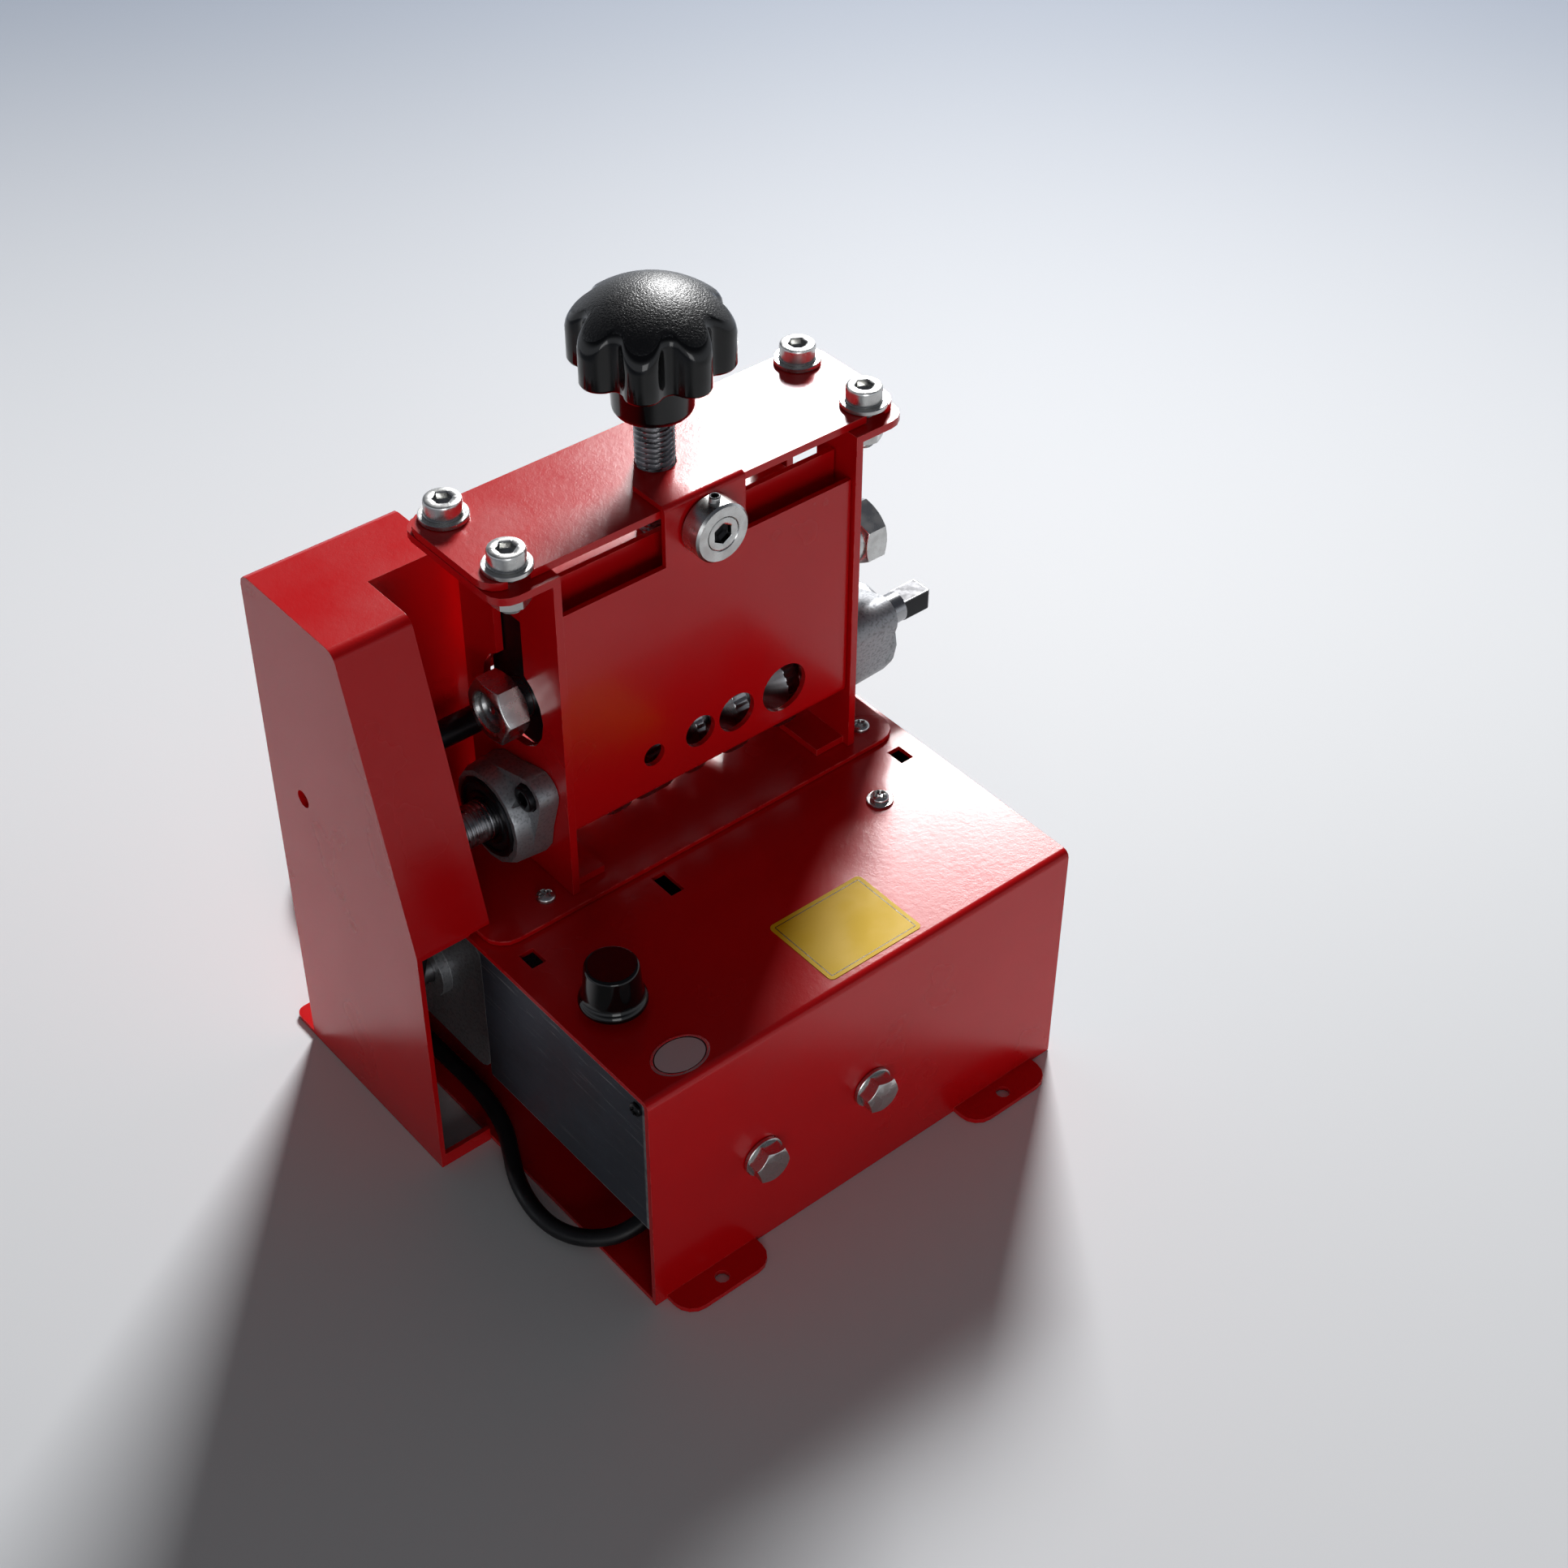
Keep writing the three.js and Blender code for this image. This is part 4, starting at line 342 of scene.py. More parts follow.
def turned_steel(tones):
    """Steel with the fine rings of a lathe across the machine's long axis."""
    steel = Finish("turned_steel", constants={"Metallic": 1.0})
    rings = steel.noise(5.0, 3.0, steel.place((520.0, 6.0, 6.0)), 0.6)
    cloud = steel.noise(60.0, 3.0)
    steel.set("Base Color", steel.blend(rings * 0.35 + cloud * 0.3, tones.steel, shaded(tones.steel, 0.5)))
    steel.set("Roughness", steel.ramp(cloud, 0.3, 0.7, 0.20, 0.34))
    steel.bump(rings, 0.05, 0.6)
    keep(steel)


def cast_metal(tones):
    cast = Finish("cast_metal", constants={"Metallic": 0.75})
    grain = cast.noise(950.0, 3.0)
    lump = cast.noise(160.0, 3.0)
    pits = cast.ramp(grain, 0.36, 0.5, 1.0, 0.0)
    body = cast.blend(pits * 0.45 + lump * 0.2, tones.cast, shaded(tones.cast, 0.42))
    bright = (0.62, 0.63, 0.64)
    cast.set("Base Color", cast.blend(cast.worn() * 0.4, body, bright))
    cast.set("Roughness", cast.ramp(grain, 0.3, 0.7, 0.56, 0.42))
    cast.bump(grain * 0.6 + lump * 0.6, 0.16, 0.7)
    keep(cast)


def mottled(name, constants, first, second, patches, mask, rough, grain, depth, strength=0.5, slot=None):
    """A finish whose tone and roughness follow one soft noise, over a fine grain.

    Patches and grain are the scale and detail of a noise. The mask is a share, or the limits of a ramp.
    """
    finish = Finish(name, slot, constants)
    cloud = finish.noise(*patches)
    share = finish.ramp(cloud, *mask) if isinstance(mask, tuple) else cloud * mask
    finish.set("Base Color", finish.blend(share, first, second))
    finish.set("Roughness", finish.ramp(cloud, 0.3, 0.7, *rough))
    finish.bump(finish.noise(*grain), depth, strength)
    keep(finish)


def mottled_finishes(tones):
    """The finishes that differ only in tone, roughness and grain."""
    mottled("zinc_plate", {"Metallic": 1.0}, tones.zinc, shaded(tones.zinc, 0.55),
            (180.0, 4.0), (0.35, 0.7, 0.0, 0.45), (0.20, 0.36), (1500.0, 3.0), 0.03)
    mottled("spindle_steel", {"Metallic": 1.0}, shaded(tones.steel, 0.5), tones.steel,
            (220.0, 4.0), (0.3, 0.7), (0.24, 0.4), (1200.0, 2.0), 0.02, slot="turned_steel")
    mottled("black_steel", {"Metallic": 0.8}, tones.black, shaded(tones.black, 2.4),
            (300.0, 3.0), 0.7, (0.28, 0.42), (1600.0, 2.0), 0.02)
    mottled("black_plastic", {"Specular IOR Level": 0.5}, tones.plastic, shaded(tones.plastic, 2),
            (1500.0, 2.0), 0.5, (0.3, 0.44), (1500.0, 2.0), 0.22, 1.0)
    mottled("gloss_plastic", {"Specular IOR Level": 0.35, "Coat Weight": 0.1, "Coat Roughness": 0.06},
            shaded(tones.plastic, 0.5), tones.plastic, (70.0, 3.0), 0.5, (0.10, 0.2), (500.0, 2.0), 0.02,
            0.4, "black_plastic")
    mottled("black_rubber", {"Specular IOR Level": 0.3}, tones.rubber, shaded(tones.rubber, 1.9),
            (120.0, 3.0), 0.6, (0.36, 0.55), (900.0, 2.0), 0.04)
    mottled("motor_paint", {"Metallic": 0.2}, tones.motor, shaded(tones.motor, 1.6),
            (900.0, 2.0), 0.4, (0.38, 0.5), (900.0, 2.0), 0.04)


def circuit_board(tones):
    board = Finish("circuit_board", constants={"Coat Weight": 0.3, "Coat Roughness": 0.2})
    tracks = board.ramp(board.cells(260.0, board.place((1.0, 1.0, 0.2)), "Distance"), 0.30, 0.36)
    board.set("Base Color", board.blend(tracks * 0.5, tones.board, shaded(tones.board, 2)))
    board.set("Roughness", board.ramp(board.noise(80.0), 0.3, 0.7, 0.3, 0.45))
    board.bump(tracks, 0.04, 0.5)
    keep(board)


def plate_finish(name, tone, slot, metal):
    """A blank plate with faint scuffs."""
    plate = Finish(name, slot, {"Metallic": metal, "Specular IOR Level": 0.15})
    cloud = plate.noise(60.0, 4.0)
    scuff = plate.noise(8.0, 6.0, plate.place((12.0, 160.0, 1.0), (0.0, 0.0, 0.7)), 0.7)
    scuff = plate.ramp(scuff, 0.6, 0.72)
    plate.set("Base Color", plate.blend(cloud * 0.25 + scuff * 0.25, tone, shaded(tone, 0.72)))
    plate.set("Roughness", plate.ramp(cloud, 0.3, 0.7, 0.42, 0.55))
    plate.bump(plate.noise(700.0), 0.02, 0.4)
    keep(plate)


def plates(tones):
    plate_finish("yellow_plate", tones.yellow, "black_plastic", 0.0)
    plate_finish("silver_plate", tones.silver, "zinc_plate", 0.2)


def floor_finish(tones):
    """A pale floor with painted shade that darkens it behind and to the left, and far off fades into the
    backdrop.
    """
    floor = Finish("floor", constants={"Roughness": 0.6, "Specular IOR Level": 0.2})
    place = floor.node("ShaderNodeTexCoord", output="Object")
    # Painted shade: the floor darkens behind the machine, where the lamps' light falls off, and to its left,
    # where the machine's shadow runs
    behind = floor.ramp(floor.along(place, (0.647, 0.763, 0.0)), 0.1, 1.15)
    painted_shade_aside = floor.ramp(floor.along(place, (-1.0, -0.1, 0.0)), 0.25, 0.75, 0.0, 0.9)
    floor.set("Base Color", floor.blend(floor.larger(behind, painted_shade_aside), tones.floor, tones.painted_floor_shade))
    floor.bump(floor.noise(300.0), 0.02, 0.2)
    away = floor.node("ShaderNodeVectorMath", {"operation": "LENGTH"}, {0: place}, "Value")
    haze = floor.node("ShaderNodeEmission", None, {"Color": (*HORIZON, 1.0), "Strength": 1.0})
    shown = floor.node("ShaderNodeMixShader", None, {0: floor.ramp(away, 1.15, 1.9) * floor.seen(),
                                                     1: Value(floor, floor.shader.outputs[0]), 2: haze})
    floor.feed(floor.tree.nodes["Material Output"], "Surface", shown)
    keep(floor)


FINISHES = (red_paint, galvanised_sheet, panel_sheet, turned_steel, cast_metal, mottled_finishes,
            circuit_board, plates, floor_finish)


# Meshes, all in millimetres until they become a piece

WAYS = {
    "up": Matrix.Identity(3),
    "right": Matrix(((0, 0, 1), (1, 0, 0), (0, 1, 0))),
    "left": Matrix(((0, 0, -1), (0, 1, 0), (1, 0, 0))),
    "front": Matrix(((1, 0, 0), (0, 0, -1), (0, 1, 0))),
}


# Centre and width of each groove in the feed roller, in millimetres; a blade stands over each
GROOVES = ((-18.0, 8.28), (2.5, 11.96), (19.0, 14.72), (41.0, 18.4))
# Where the spindle stands, and where the clamp's collar sits in the bracket
SPINDLE_X = 6.5
SPINDLE_Y = 27.0
COLLAR_Z = 237.0


def reach_of(node):
    """The lowest and highest corner of a CAD node in millimetres, and its middle."""
    low, high = (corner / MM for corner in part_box(node))
    return low, high, (low + high) / 2


def facing(mesh, way, first, second):
    """Turns a body made about Z to face up, right, left or to the front, about the axis at that place."""
    shift = {"up": (first, second, 0), "front": (first, 0, second)}.get(way, (0, first, second))
    turn = WAYS[way].to_4x4()
    bmesh.ops.transform(mesh, matrix=Matrix.Translation(shift) @ turn, verts=mesh.verts[:])
    return mesh


def turned(profile, sides=64, closed=False):
    """A turned body about Z from (height, radius) pairs; a closed profile leaves a bore."""
    mesh = bmesh.new()
    ring = [mesh.verts.new((radius, 0.0, height)) for height, radius in profile]
    pairs = list(zip(ring, ring[1:]))
    if closed:
        pairs.append((ring[-1], ring[0]))
    edges = [mesh.edges.new(pair) for pair in pairs]
    bmesh.ops.spin(mesh, geom=ring + edges, cent=(0, 0, 0), axis=(0, 0, 1), angle=TURN, steps=sides,
                   use_merge=True)
    bmesh.ops.remove_doubles(mesh, verts=mesh.verts[:], dist=1e-4)
    bmesh.ops.recalc_face_normals(mesh, faces=mesh.faces[:])
    return mesh


def stored(name, mesh):
    """The bmesh as mesh data."""
    data = bpy.data.meshes.new(name)
    mesh.to_mesh(data)
    mesh.free()
    return data


def placed(name, data):
    """A new object in the scene."""
    item = bpy.data.objects.new(name, data)
    bpy.context.scene.collection.objects.link(item)
    return item


def together(*meshes):
    """Several bodies in one mesh."""
    whole = bmesh.new()
    for mesh in meshes:
        part = stored("part", mesh)
        whole.from_mesh(part)
        bpy.data.meshes.remove(part)
    return whole


def bar(x, y, z):
    """A block from three pairs of limits."""
    mesh = bmesh.new()
    bmesh.ops.create_cube(mesh, size=1.0)
    sizes = [high - low for low, high in (x, y, z)]
    centre = [(high + low) / 2 for low, high in (x, y, z)]
    bmesh.ops.scale(mesh, vec=sizes, verts=mesh.verts[:])
    bmesh.ops.translate(mesh, vec=centre, verts=mesh.verts[:])
    return mesh


def rounded(mesh, lines, width, segments):
    return bmesh.ops.bevel(mesh, geom=lines, offset=width, offset_type="OFFSET", segments=segments,
                           profile=0.5, affect="EDGES", clamp_overlap=True, material=-1)


def marked(mesh, choose):
    """Gives each face the finish whose number is chosen from the face and its middle."""
    for face in mesh.faces:
        face.material_index = int(choose(face, face.calc_center_median()))


def upright(mesh):
    """Edges that run along Z."""
    return [line for line in mesh.edges if abs(line.verts[0].co.z - line.verts[1].co.z) > 0.1]


def softened(mesh, width, angle=35.0, segments=2):
    """Rounds the edges sharper than the angle and marks the new faces as edge."""
    edge = mesh.faces.layers.float.get("edge") or mesh.faces.layers.float.new("edge")
    sharp = [line for line in mesh.edges if line.is_manifold and line.calc_face_angle() > math.radians(angle)]
    for face in rounded(mesh, sharp, width, segments)["faces"]:
        face[edge] = 1.0
    return mesh


def hexagon(flats, angle):
    """Distance from the middle of a hexagon to its side in that direction."""
    return flats / 2 / math.cos((angle + math.pi / 6) % (math.pi / 3) - math.pi / 6)


def hexed(mesh, flats, foot_chamfer=None, top_chamfer=None):
    """Draws the rings at a hexagon's corner radius in to its sides, and lets a chamfer follow them."""
    corner = flats / math.sqrt(3)
    slope = math.tan(math.radians(30))
    for vert in mesh.verts:
        if abs(math.hypot(vert.co.x, vert.co.y) - corner) < 0.01:
            reach = hexagon(flats, math.atan2(vert.co.y, vert.co.x))
            if top_chamfer is not None and abs(vert.co.z - top_chamfer) < 0.01:
                vert.co.z += (corner - reach) * slope
            elif foot_chamfer is not None and abs(vert.co.z - foot_chamfer) < 0.01:
                vert.co.z -= (corner - reach) * slope
            vert.co.x *= reach / corner
            vert.co.y *= reach / corner
    return mesh


def hex_body(flats, foot, top, bore=0.0, both=False):
    """A nut or bolt head with its crown chamfered, and its foot too where both is set."""
    corner = flats / math.sqrt(3)
    crown = 0.955 * flats / 2
    drop = (corner - crown) * math.tan(math.radians(30))
    lead = 0.5 if bore else 0.0
    profile = [(foot + lead, bore / 2), (foot, bore / 2 + lead)]
    if both:
        profile += [(foot, crown), (foot + drop, corner)]
    else:
        profile += [(foot, corner)]
    profile += [(top - drop, corner), (top, crown), (top, bore / 2 + lead), (top - lead, bore / 2)]
    if not bore:
        profile = profile[1:-1]
    mesh = turned(profile, 48, closed=bool(bore))
    return hexed(mesh, flats, foot + drop if both else None, top - drop)


def socket_cap(diameter, foot, top, socket, depth, edge=0.7):
    """A round screw head with a hexagon socket."""
    radius = diameter / 2
    corner = socket / math.sqrt(3)
    mesh = turned([(foot, 0), (foot, radius), (top - edge, radius), (top - edge * 0.3, radius - edge * 0.3),
                   (top, radius - edge), (top, corner + 0.35), (top - 0.35, corner), (top - depth, corner),
                   (top - depth - corner * 0.4, 0)], 48)
    return hexed(mesh, socket)


def rod(foot, top, diameter, edge=0.5, sides=48):
    radius = diameter / 2
    return turned([(foot, 0), (foot, radius - edge), (foot + edge, radius), (top - edge, radius),
                   (top, radius - edge), (top, 0)], sides)


def washer(foot, top, diameter, bore, edge=0.25):
    radius = diameter / 2
    return turned([(foot, bore / 2), (foot, radius), (top - edge, radius), (top, radius - edge),
                   (top, bore / 2)], 64, closed=True)


def cross_head(foot, top, diameter):
    """A pan head with a cross recess."""
    radius = diameter / 2
    rows = [(foot, 0), (foot, radius)]
    for step in range(13):
        share = step / 12
        rows.append((foot + (top - foot) * (0.35 + 0.65 * math.sin(share * math.pi / 2)),
                     radius * math.cos(share * math.pi / 2)))
    mesh = turned(rows, 48)
    slot = 0.11 * diameter
    for vert in mesh.verts:
        narrow = min(abs(vert.co.x), abs(vert.co.y))
        wide = max(abs(vert.co.x), abs(vert.co.y))
        if vert.co.z > foot + (top - foot) * 0.6 and narrow < slot and wide < 0.33 * diameter:
            vert.co.z -= (top - foot) * 0.45
    return mesh


def threaded(foot, top, diameter, pitch, depth, sides=48):
    """A rod with a screw thread along its whole length."""
    rows = 8
    count = round((top - foot) / pitch * rows)
    profile = [(foot, 0)]
    profile += [(foot + (top - foot) * step / count, diameter / 2) for step in range(count + 1)]
    profile += [(top, 0)]
    mesh = turned(profile, sides)
    for vert in mesh.verts:
        radius = math.hypot(vert.co.x, vert.co.y)
        if radius > 0.1:
            phase = (vert.co.z / pitch - math.atan2(vert.co.y, vert.co.x) / TURN) % 1.0
            cut = depth * min(max(2.4 * abs(phase - 0.5) - 0.1, 0.0), 1.0)
            ends = min(vert.co.z - foot, top - vert.co.z) / pitch
            share = (radius - cut if ends > 0.2 else radius - depth) / radius
            vert.co.x *= share
            vert.co.y *= share
    return mesh


def m8_thread(foot, top):
    return threaded(foot, top, 8.0, 1.25, 0.6, 32)


def m8_nut(foot, top):
    return hex_body(13.0, foot, top, 7.2, both=True)


def copied(node):
    """The CAD node's own shape, merged, with flat faces whole again."""
    mesh = bmesh.new()
    mesh.from_mesh(frame["nodes"][node].data)
    bmesh.ops.scale(mesh, vec=(1 / MM,) * 3, verts=mesh.verts[:])
    bmesh.ops.remove_doubles(mesh, verts=mesh.verts[:], dist=0.005)
    bmesh.ops.dissolve_limit(mesh, angle_limit=math.radians(1), verts=mesh.verts[:], edges=mesh.edges[:])
    return mesh


def piece(name, mesh, finish, *nodes, body=None, smooth=38.0):
    """Makes the bmesh an object that stands for the CAD nodes and rides on their body."""
    bmesh.ops.scale(mesh, vec=(MM,) * 3, verts=mesh.verts[:])
    for face in mesh.faces:
        face.smooth = True
    for line in mesh.edges:
        line.smooth = line.is_manifold and line.calc_face_angle() < math.radians(smooth)
    data = stored(name, mesh)
    for each in (finish if isinstance(finish, (list, tuple)) else [finish]):
        data.materials.append(finishes[each])
    item = placed(name, data)
    even = item.modifiers.new("Even shading", "WEIGHTED_NORMAL")
    even.keep_sharp = True
    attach(item, body or frame["nodes"][nodes[0]]["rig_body"])
    if nodes:
        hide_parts(*nodes)
    return item


def dressed(node, finish, edge, angle=38.0):
    """A copy of a CAD node with rounded edges."""
    return piece(f"{node}_look", softened(copied(node), edge, angle), finish, node)


# The lead's route, in millimetres, as the CAD has it

LEAD_ROUTE = [
    (-60.6, -70, 16.5), (-67, -70, 16.5), (-76, -69.9, 14), (-84, -68.6, 10), (-92, -65.2, 7),
    (-100, -58.5, 5.9), (-104.6, -50, 5.6), (-106, -41, 5.6), (-104.9, -30, 5.6), (-101.6, -19, 5.6),
    (-96.8, -9, 5.6), (-92.2, 1, 5.6), (-89.4, 12, 5.6), (-88, 24, 5.6), (-88, 50, 5.6), (-88, 76, 5.6),
    (-88, 94, 5.6), (-87.4, 107, 5.4), (-84.6, 119, 4.8), (-81.2, 127, 4.35), (-79.675, 134, 4.35),
    (-79.675, 140.2, 4.35),
]
COIL_MIDDLE = (-34.0, 147.0)
COIL_LOOPS = 5.375
COIL_PITCH = 7.2
COIL_INNER = 26.325
COIL_LOW = 4.35
COIL_RUN_OUT = 19.5


def curve_through(points, steps):
    """Points on a centripetal Catmull-Rom curve through the route."""
    points = [Vector(point) for point in points]
    points = [2 * points[0] - points[1], *points, 2 * points[-1] - points[-2]]
    found = []
    for p0, p1, p2, p3 in zip(points, points[1:], points[2:], points[3:]):
        t0 = 0.0
        t1 = t0 + (p1 - p0).length ** 0.5
        t2 = t1 + (p2 - p1).length ** 0.5
        t3 = t2 + (p3 - p2).length ** 0.5
        for step in range(steps):
            t = t1 + (t2 - t1) * step / steps
            a1 = p0.lerp(p1, (t - t0) / (t1 - t0))
            a2 = p1.lerp(p2, (t - t1) / (t2 - t1))
            a3 = p2.lerp(p3, (t - t2) / (t3 - t2))
            b1 = a1.lerp(a2, (t - t0) / (t2 - t0))
            b2 = a2.lerp(a3, (t - t1) / (t3 - t1))
            found.append(b1.lerp(b2, (t - t1) / (t2 - t1)))
    found.append(points[-2])
    return found


def coil_points():
    """The coil's turns: an inward layer on the floor, and an outward one on top of it."""
    count = round(COIL_LOOPS * 48)
    turns = []
    for step in range(count + 1):
        loops = COIL_LOOPS * step / count
        radius = COIL_INNER + COIL_PITCH * abs(loops - COIL_LOOPS / 2)
        angle = math.pi - TURN * loops
        climb = min(max((loops - COIL_LOOPS / 2) / 0.5 + 0.5, 0.0), 1.0)
        height = COIL_LOW + COIL_PITCH * climb * climb * (3 - 2 * climb)
        turns.append(Vector((COIL_MIDDLE[0] + radius * math.cos(angle),
                             COIL_MIDDLE[1] + radius * math.sin(angle), height)))
    heading = (turns[-1] - turns[-2]).normalized()
    return [*turns, turns[-1] + heading * COIL_RUN_OUT]


# Operators

class MACHINE_OT_stage(bpy.types.Operator):
    """Camera, floor, lamps and backdrop"""
    bl_idname = "machine.stage"
    bl_label = "Stage"

    def execute(self, context):
        stage = context.scene.machine_stage
        context.scene.view_settings.view_transform = "Standard"
        self.camera(context, stage)
        self.floor()
        self.lamps(stage)
        self.backdrop(context, stage)
        return {"FINISHED"}

    def camera(self, context, stage):
        sensor = 36.0
        frame_pixels = 1932
        focal_pixels = 3135.84
        back = Vector((math.sin(stage.azimuth) * math.cos(stage.elevation),
                       -math.cos(stage.azimuth) * math.cos(stage.elevation), math.sin(stage.elevation)))
        right = Vector((math.cos(stage.azimuth), math.sin(stage.azimuth), 0.0))
        up = back.cross(right)
        side = right * math.cos(stage.roll) + up * math.sin(stage.roll)
        rise = up * math.cos(stage.roll) - right * math.sin(stage.roll)
        lens = bpy.data.cameras.new("Camera")
        lens.sensor_fit = "HORIZONTAL"
        lens.sensor_width = sensor
        lens.lens = sensor * focal_pixels / frame_pixels
        lens.clip_start = 0.01
        camera = placed("Camera", lens)
        turn = Matrix((side, rise, back)).transposed().to_4x4()
        camera.matrix_world = Matrix.Translation(Vector(stage.camera_place)) @ turn
        context.scene.camera = camera

    def floor(self):
        mesh = bmesh.new()
        bmesh.ops.create_circle(mesh, cap_ends=True, segments=96, radius=4.0)
        bmesh.ops.translate(mesh, vec=(0, 0, -0.0002), verts=mesh.verts[:])
        data = stored("studio_floor", mesh)
        data.materials.append(finishes["floor"])
        placed("studio_floor", data)

    def lamps(self, stage):
        for name, place, size, watts in (
                ("key", (1.8, 1.64, 1.72), 0.75, stage.key_power),
                ("fill", (-0.8, -1.45, 0.32), 0.7, stage.fill_power)):
            lamp = bpy.data.lights.new(name, "AREA")
            lamp.shape = "SQUARE"
            lamp.size = size
            lamp.energy = watts
            item = placed(name, lamp)
            item.location = place
            item.rotation_euler = (Vector(place) - Vector((0, 0, 0.1))).to_track_quat("Z", "Y").to_euler()

    def backdrop(self, context, stage):
        world = bpy.data.worlds.new("studio")
        world.use_nodes = True
        world.node_tree.nodes.clear()
        sky = Tree(world.node_tree)
        lit = sky.node("ShaderNodeBackground", None,
                       {"Color": (0.95, 0.97, 1.0, 1.0), "Strength": stage.daylight})
        direction = sky.node("ShaderNodeTexCoord", output="Generated")
        height = sky.node("ShaderNodeSeparateXYZ", None, {0: direction}, "Z")
        tone = sky.blend(sky.ramp(height, 0.15, 0.5), HORIZON, (0.07, 0.075, 0.09))
        shown = sky.node("ShaderNodeBackground", None, {"Color": tone, "Strength": 1.0})
        mixed = sky.node("ShaderNodeMixShader", None, {0: sky.seen(), 1: lit, 2: shown})
        sky.feed(world.node_tree.nodes.new("ShaderNodeOutputWorld"), "Surface", mixed)
        context.scene.world = world


class MACHINE_OT_lead(bpy.types.Operator):
    """Mains lead with its coil, tie, strain relief and plug"""
    bl_idname = "machine.lead"
    bl_label = "Mains lead"

    def execute(self, context):
        diameter = context.scene.machine_sizes.lead_diameter
        turns = coil_points()
        route = curve_through(LEAD_ROUTE, 6) + turns
        data = bpy.data.curves.new("lead", "CURVE")
        data.dimensions = "3D"
        data.bevel_depth = diameter / 2
        data.bevel_resolution = 5
        data.use_fill_caps = True
        spline = data.splines.new("POLY")
        spline.points.add(len(route) - 1)
        for point, place in zip(spline.points, route):
            point.co = (*(place * MM), 1.0)
        data.materials.append(finishes["black_rubber"])
        lead = placed("lead", data)
        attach(lead, "root")
        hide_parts("mains_lead", "lead_coil")
        total = sum((b - a).length for a, b in zip(route, route[1:])) * MM
        plug = self.plug(turns)
        tie = dressed("coil_tie", "black_plastic", 0.3)
        self.relief()
        tuple(route[0] * MM)
        return {"FINISHED"}

    def plug(self, turns):
        end = turns[-1]
        along = (turns[-1] - turns[-2]).normalized()
        along.z = 0
        along.normalize()
        up = Vector((0, 0, 1))
        side = up.cross(along)
        neck = 14.0
        body = 38.0
        width = 24.0
        height = 23.1
        rows = [(0, 0), (0, 4.3), (0.6, 5.0)]
        for rib in range(5):
            foot = 2.0 + 2.2 * rib
            swell = 5.0 + 0.4 * rib
            rows += [(foot, swell), (foot + 0.3, swell - 0.7), (foot + 0.9, swell - 0.7),
                     (foot + 1.2, swell + 0.2)]
        rows += [(neck + 1, 7.0), (neck + 1, 0)]
        block = bar((-width / 2, width / 2), (-height / 2, height / 2), (neck, body))
        rounded(block, upright(block), 8.0, 8)
        softened(block, 1.4, 50.0, 3)
        whole = together(turned(rows, 40), block)
        for pin in (-9.5, 9.5):
            stem = turned([(body - 1, 0), (body - 1, 2.4), (body + 17.4, 2.4), (body + 18.6, 1.9),
                           (body + 19, 1.2), (body + 19, 0)], 32)
            bmesh.ops.translate(stem, vec=(pin, 0, 0), verts=stem.verts[:])
            whole = together(whole, stem)
        marked(whole, lambda face, centre: centre.z > body + 0.05)
        turn = Matrix((side, up, along)).transposed().to_4x4()
        place = Vector((end.x, end.y, height / 2)) + along * 0.3
        bmesh.ops.transform(whole, matrix=Matrix.Translation(place) @ turn, verts=whole.verts[:])
        return piece("plug", whole, ["black_plastic", "zinc_plate"], "mains_plug")

    def relief(self):
        """Rubber strain relief where the lead leaves the base."""
        low, _, axis = reach_of("strain_relief")
        wall = 38.3
        rim = 42.7
        tip = -low.x
        rows = [(26.0, 3.5), (26.0, 5.0), (34.0, 6.0), (34.0, 6.5), (35.7, 6.5), (35.7, 5.0), (wall, 5.0),
                (wall, 6.5), (rim, 6.5)]
        ribs = 6
        for rib in range(ribs):
            foot = rim + (tip - rim - 1.0) * rib / ribs
            reach = 6.5 - 1.75 * rib / ribs
            rows += [(foot + 0.8, reach), (foot + 0.9, reach - 1.0), (foot + 2.0, reach - 1.05),
                     (foot + 2.1, reach - 0.25)]
        rows += [(tip - 0.5, 4.75), (tip, 4.25), (tip, 3.5)]
        mesh = facing(turned(rows, 48, closed=True), "left", axis.y, axis.z)
        piece("strain_relief_look", mesh, "black_rubber", "strain_relief")


class MACHINE_OT_sheet_metal(bpy.types.Operator):
    """Painted and galvanised sheet with rounded, worn edges, and a painted highlight on the red sheet's edges
    """
    bl_idname = "machine.sheet_metal"
    bl_label = "Sheet metal"

    def execute(self, context):
        edge = context.scene.machine_sizes.sheet_edge / MM
        for node in ("base_shell", "bottom_plate", "frame_base", "frame_plate_left", "frame_plate_right",
                     "top_plate", "front_cover", "rear_cover", "belt_guard"):
            dressed(node, "red_paint", edge)
        for node in ("control_tray", "right_end_plate"):
            dressed(node, "panel_sheet", 2 * edge)
        for node in ("motor_cradle", "motor_saddle", "cord_bracket"):
            dressed(node, "galvanised_sheet", edge)
        self.carriage(edge)
        return {"FINISHED"}

    def carriage(self, edge):
        """Red carriage whose outer cheek faces are black as painted shade, for the deep shadow between the
        cheeks and the frame plates.
        """
        mesh = softened(copied("carriage"), edge, 38.0)
        mesh.normal_update()
        low, high, _ = reach_of("carriage")
        for face in mesh.faces:
            centre = face.calc_center_median()
            # Painted shade: the outer cheek faces take black steel
            if abs(face.normal.x) > 0.9 and min(centre.x - low.x, high.x - centre.x) < 0.5:
                face.material_index = 1
        piece("carriage_look", mesh, ["red_paint", "black_steel"], "carriage")


class MACHINE_OT_castings(bpy.types.Operator):
    """Bearing housings and gearbox"""
    bl_idname = "machine.castings"
    bl_label = "Castings"

    def execute(self, context):
        edge = context.scene.machine_sizes.cast_edge / MM
        for node in ("bearing_housing_left", "bearing_housing_right", "gearbox"):
            dressed(node, "cast_metal", edge)
        return {"FINISHED"}


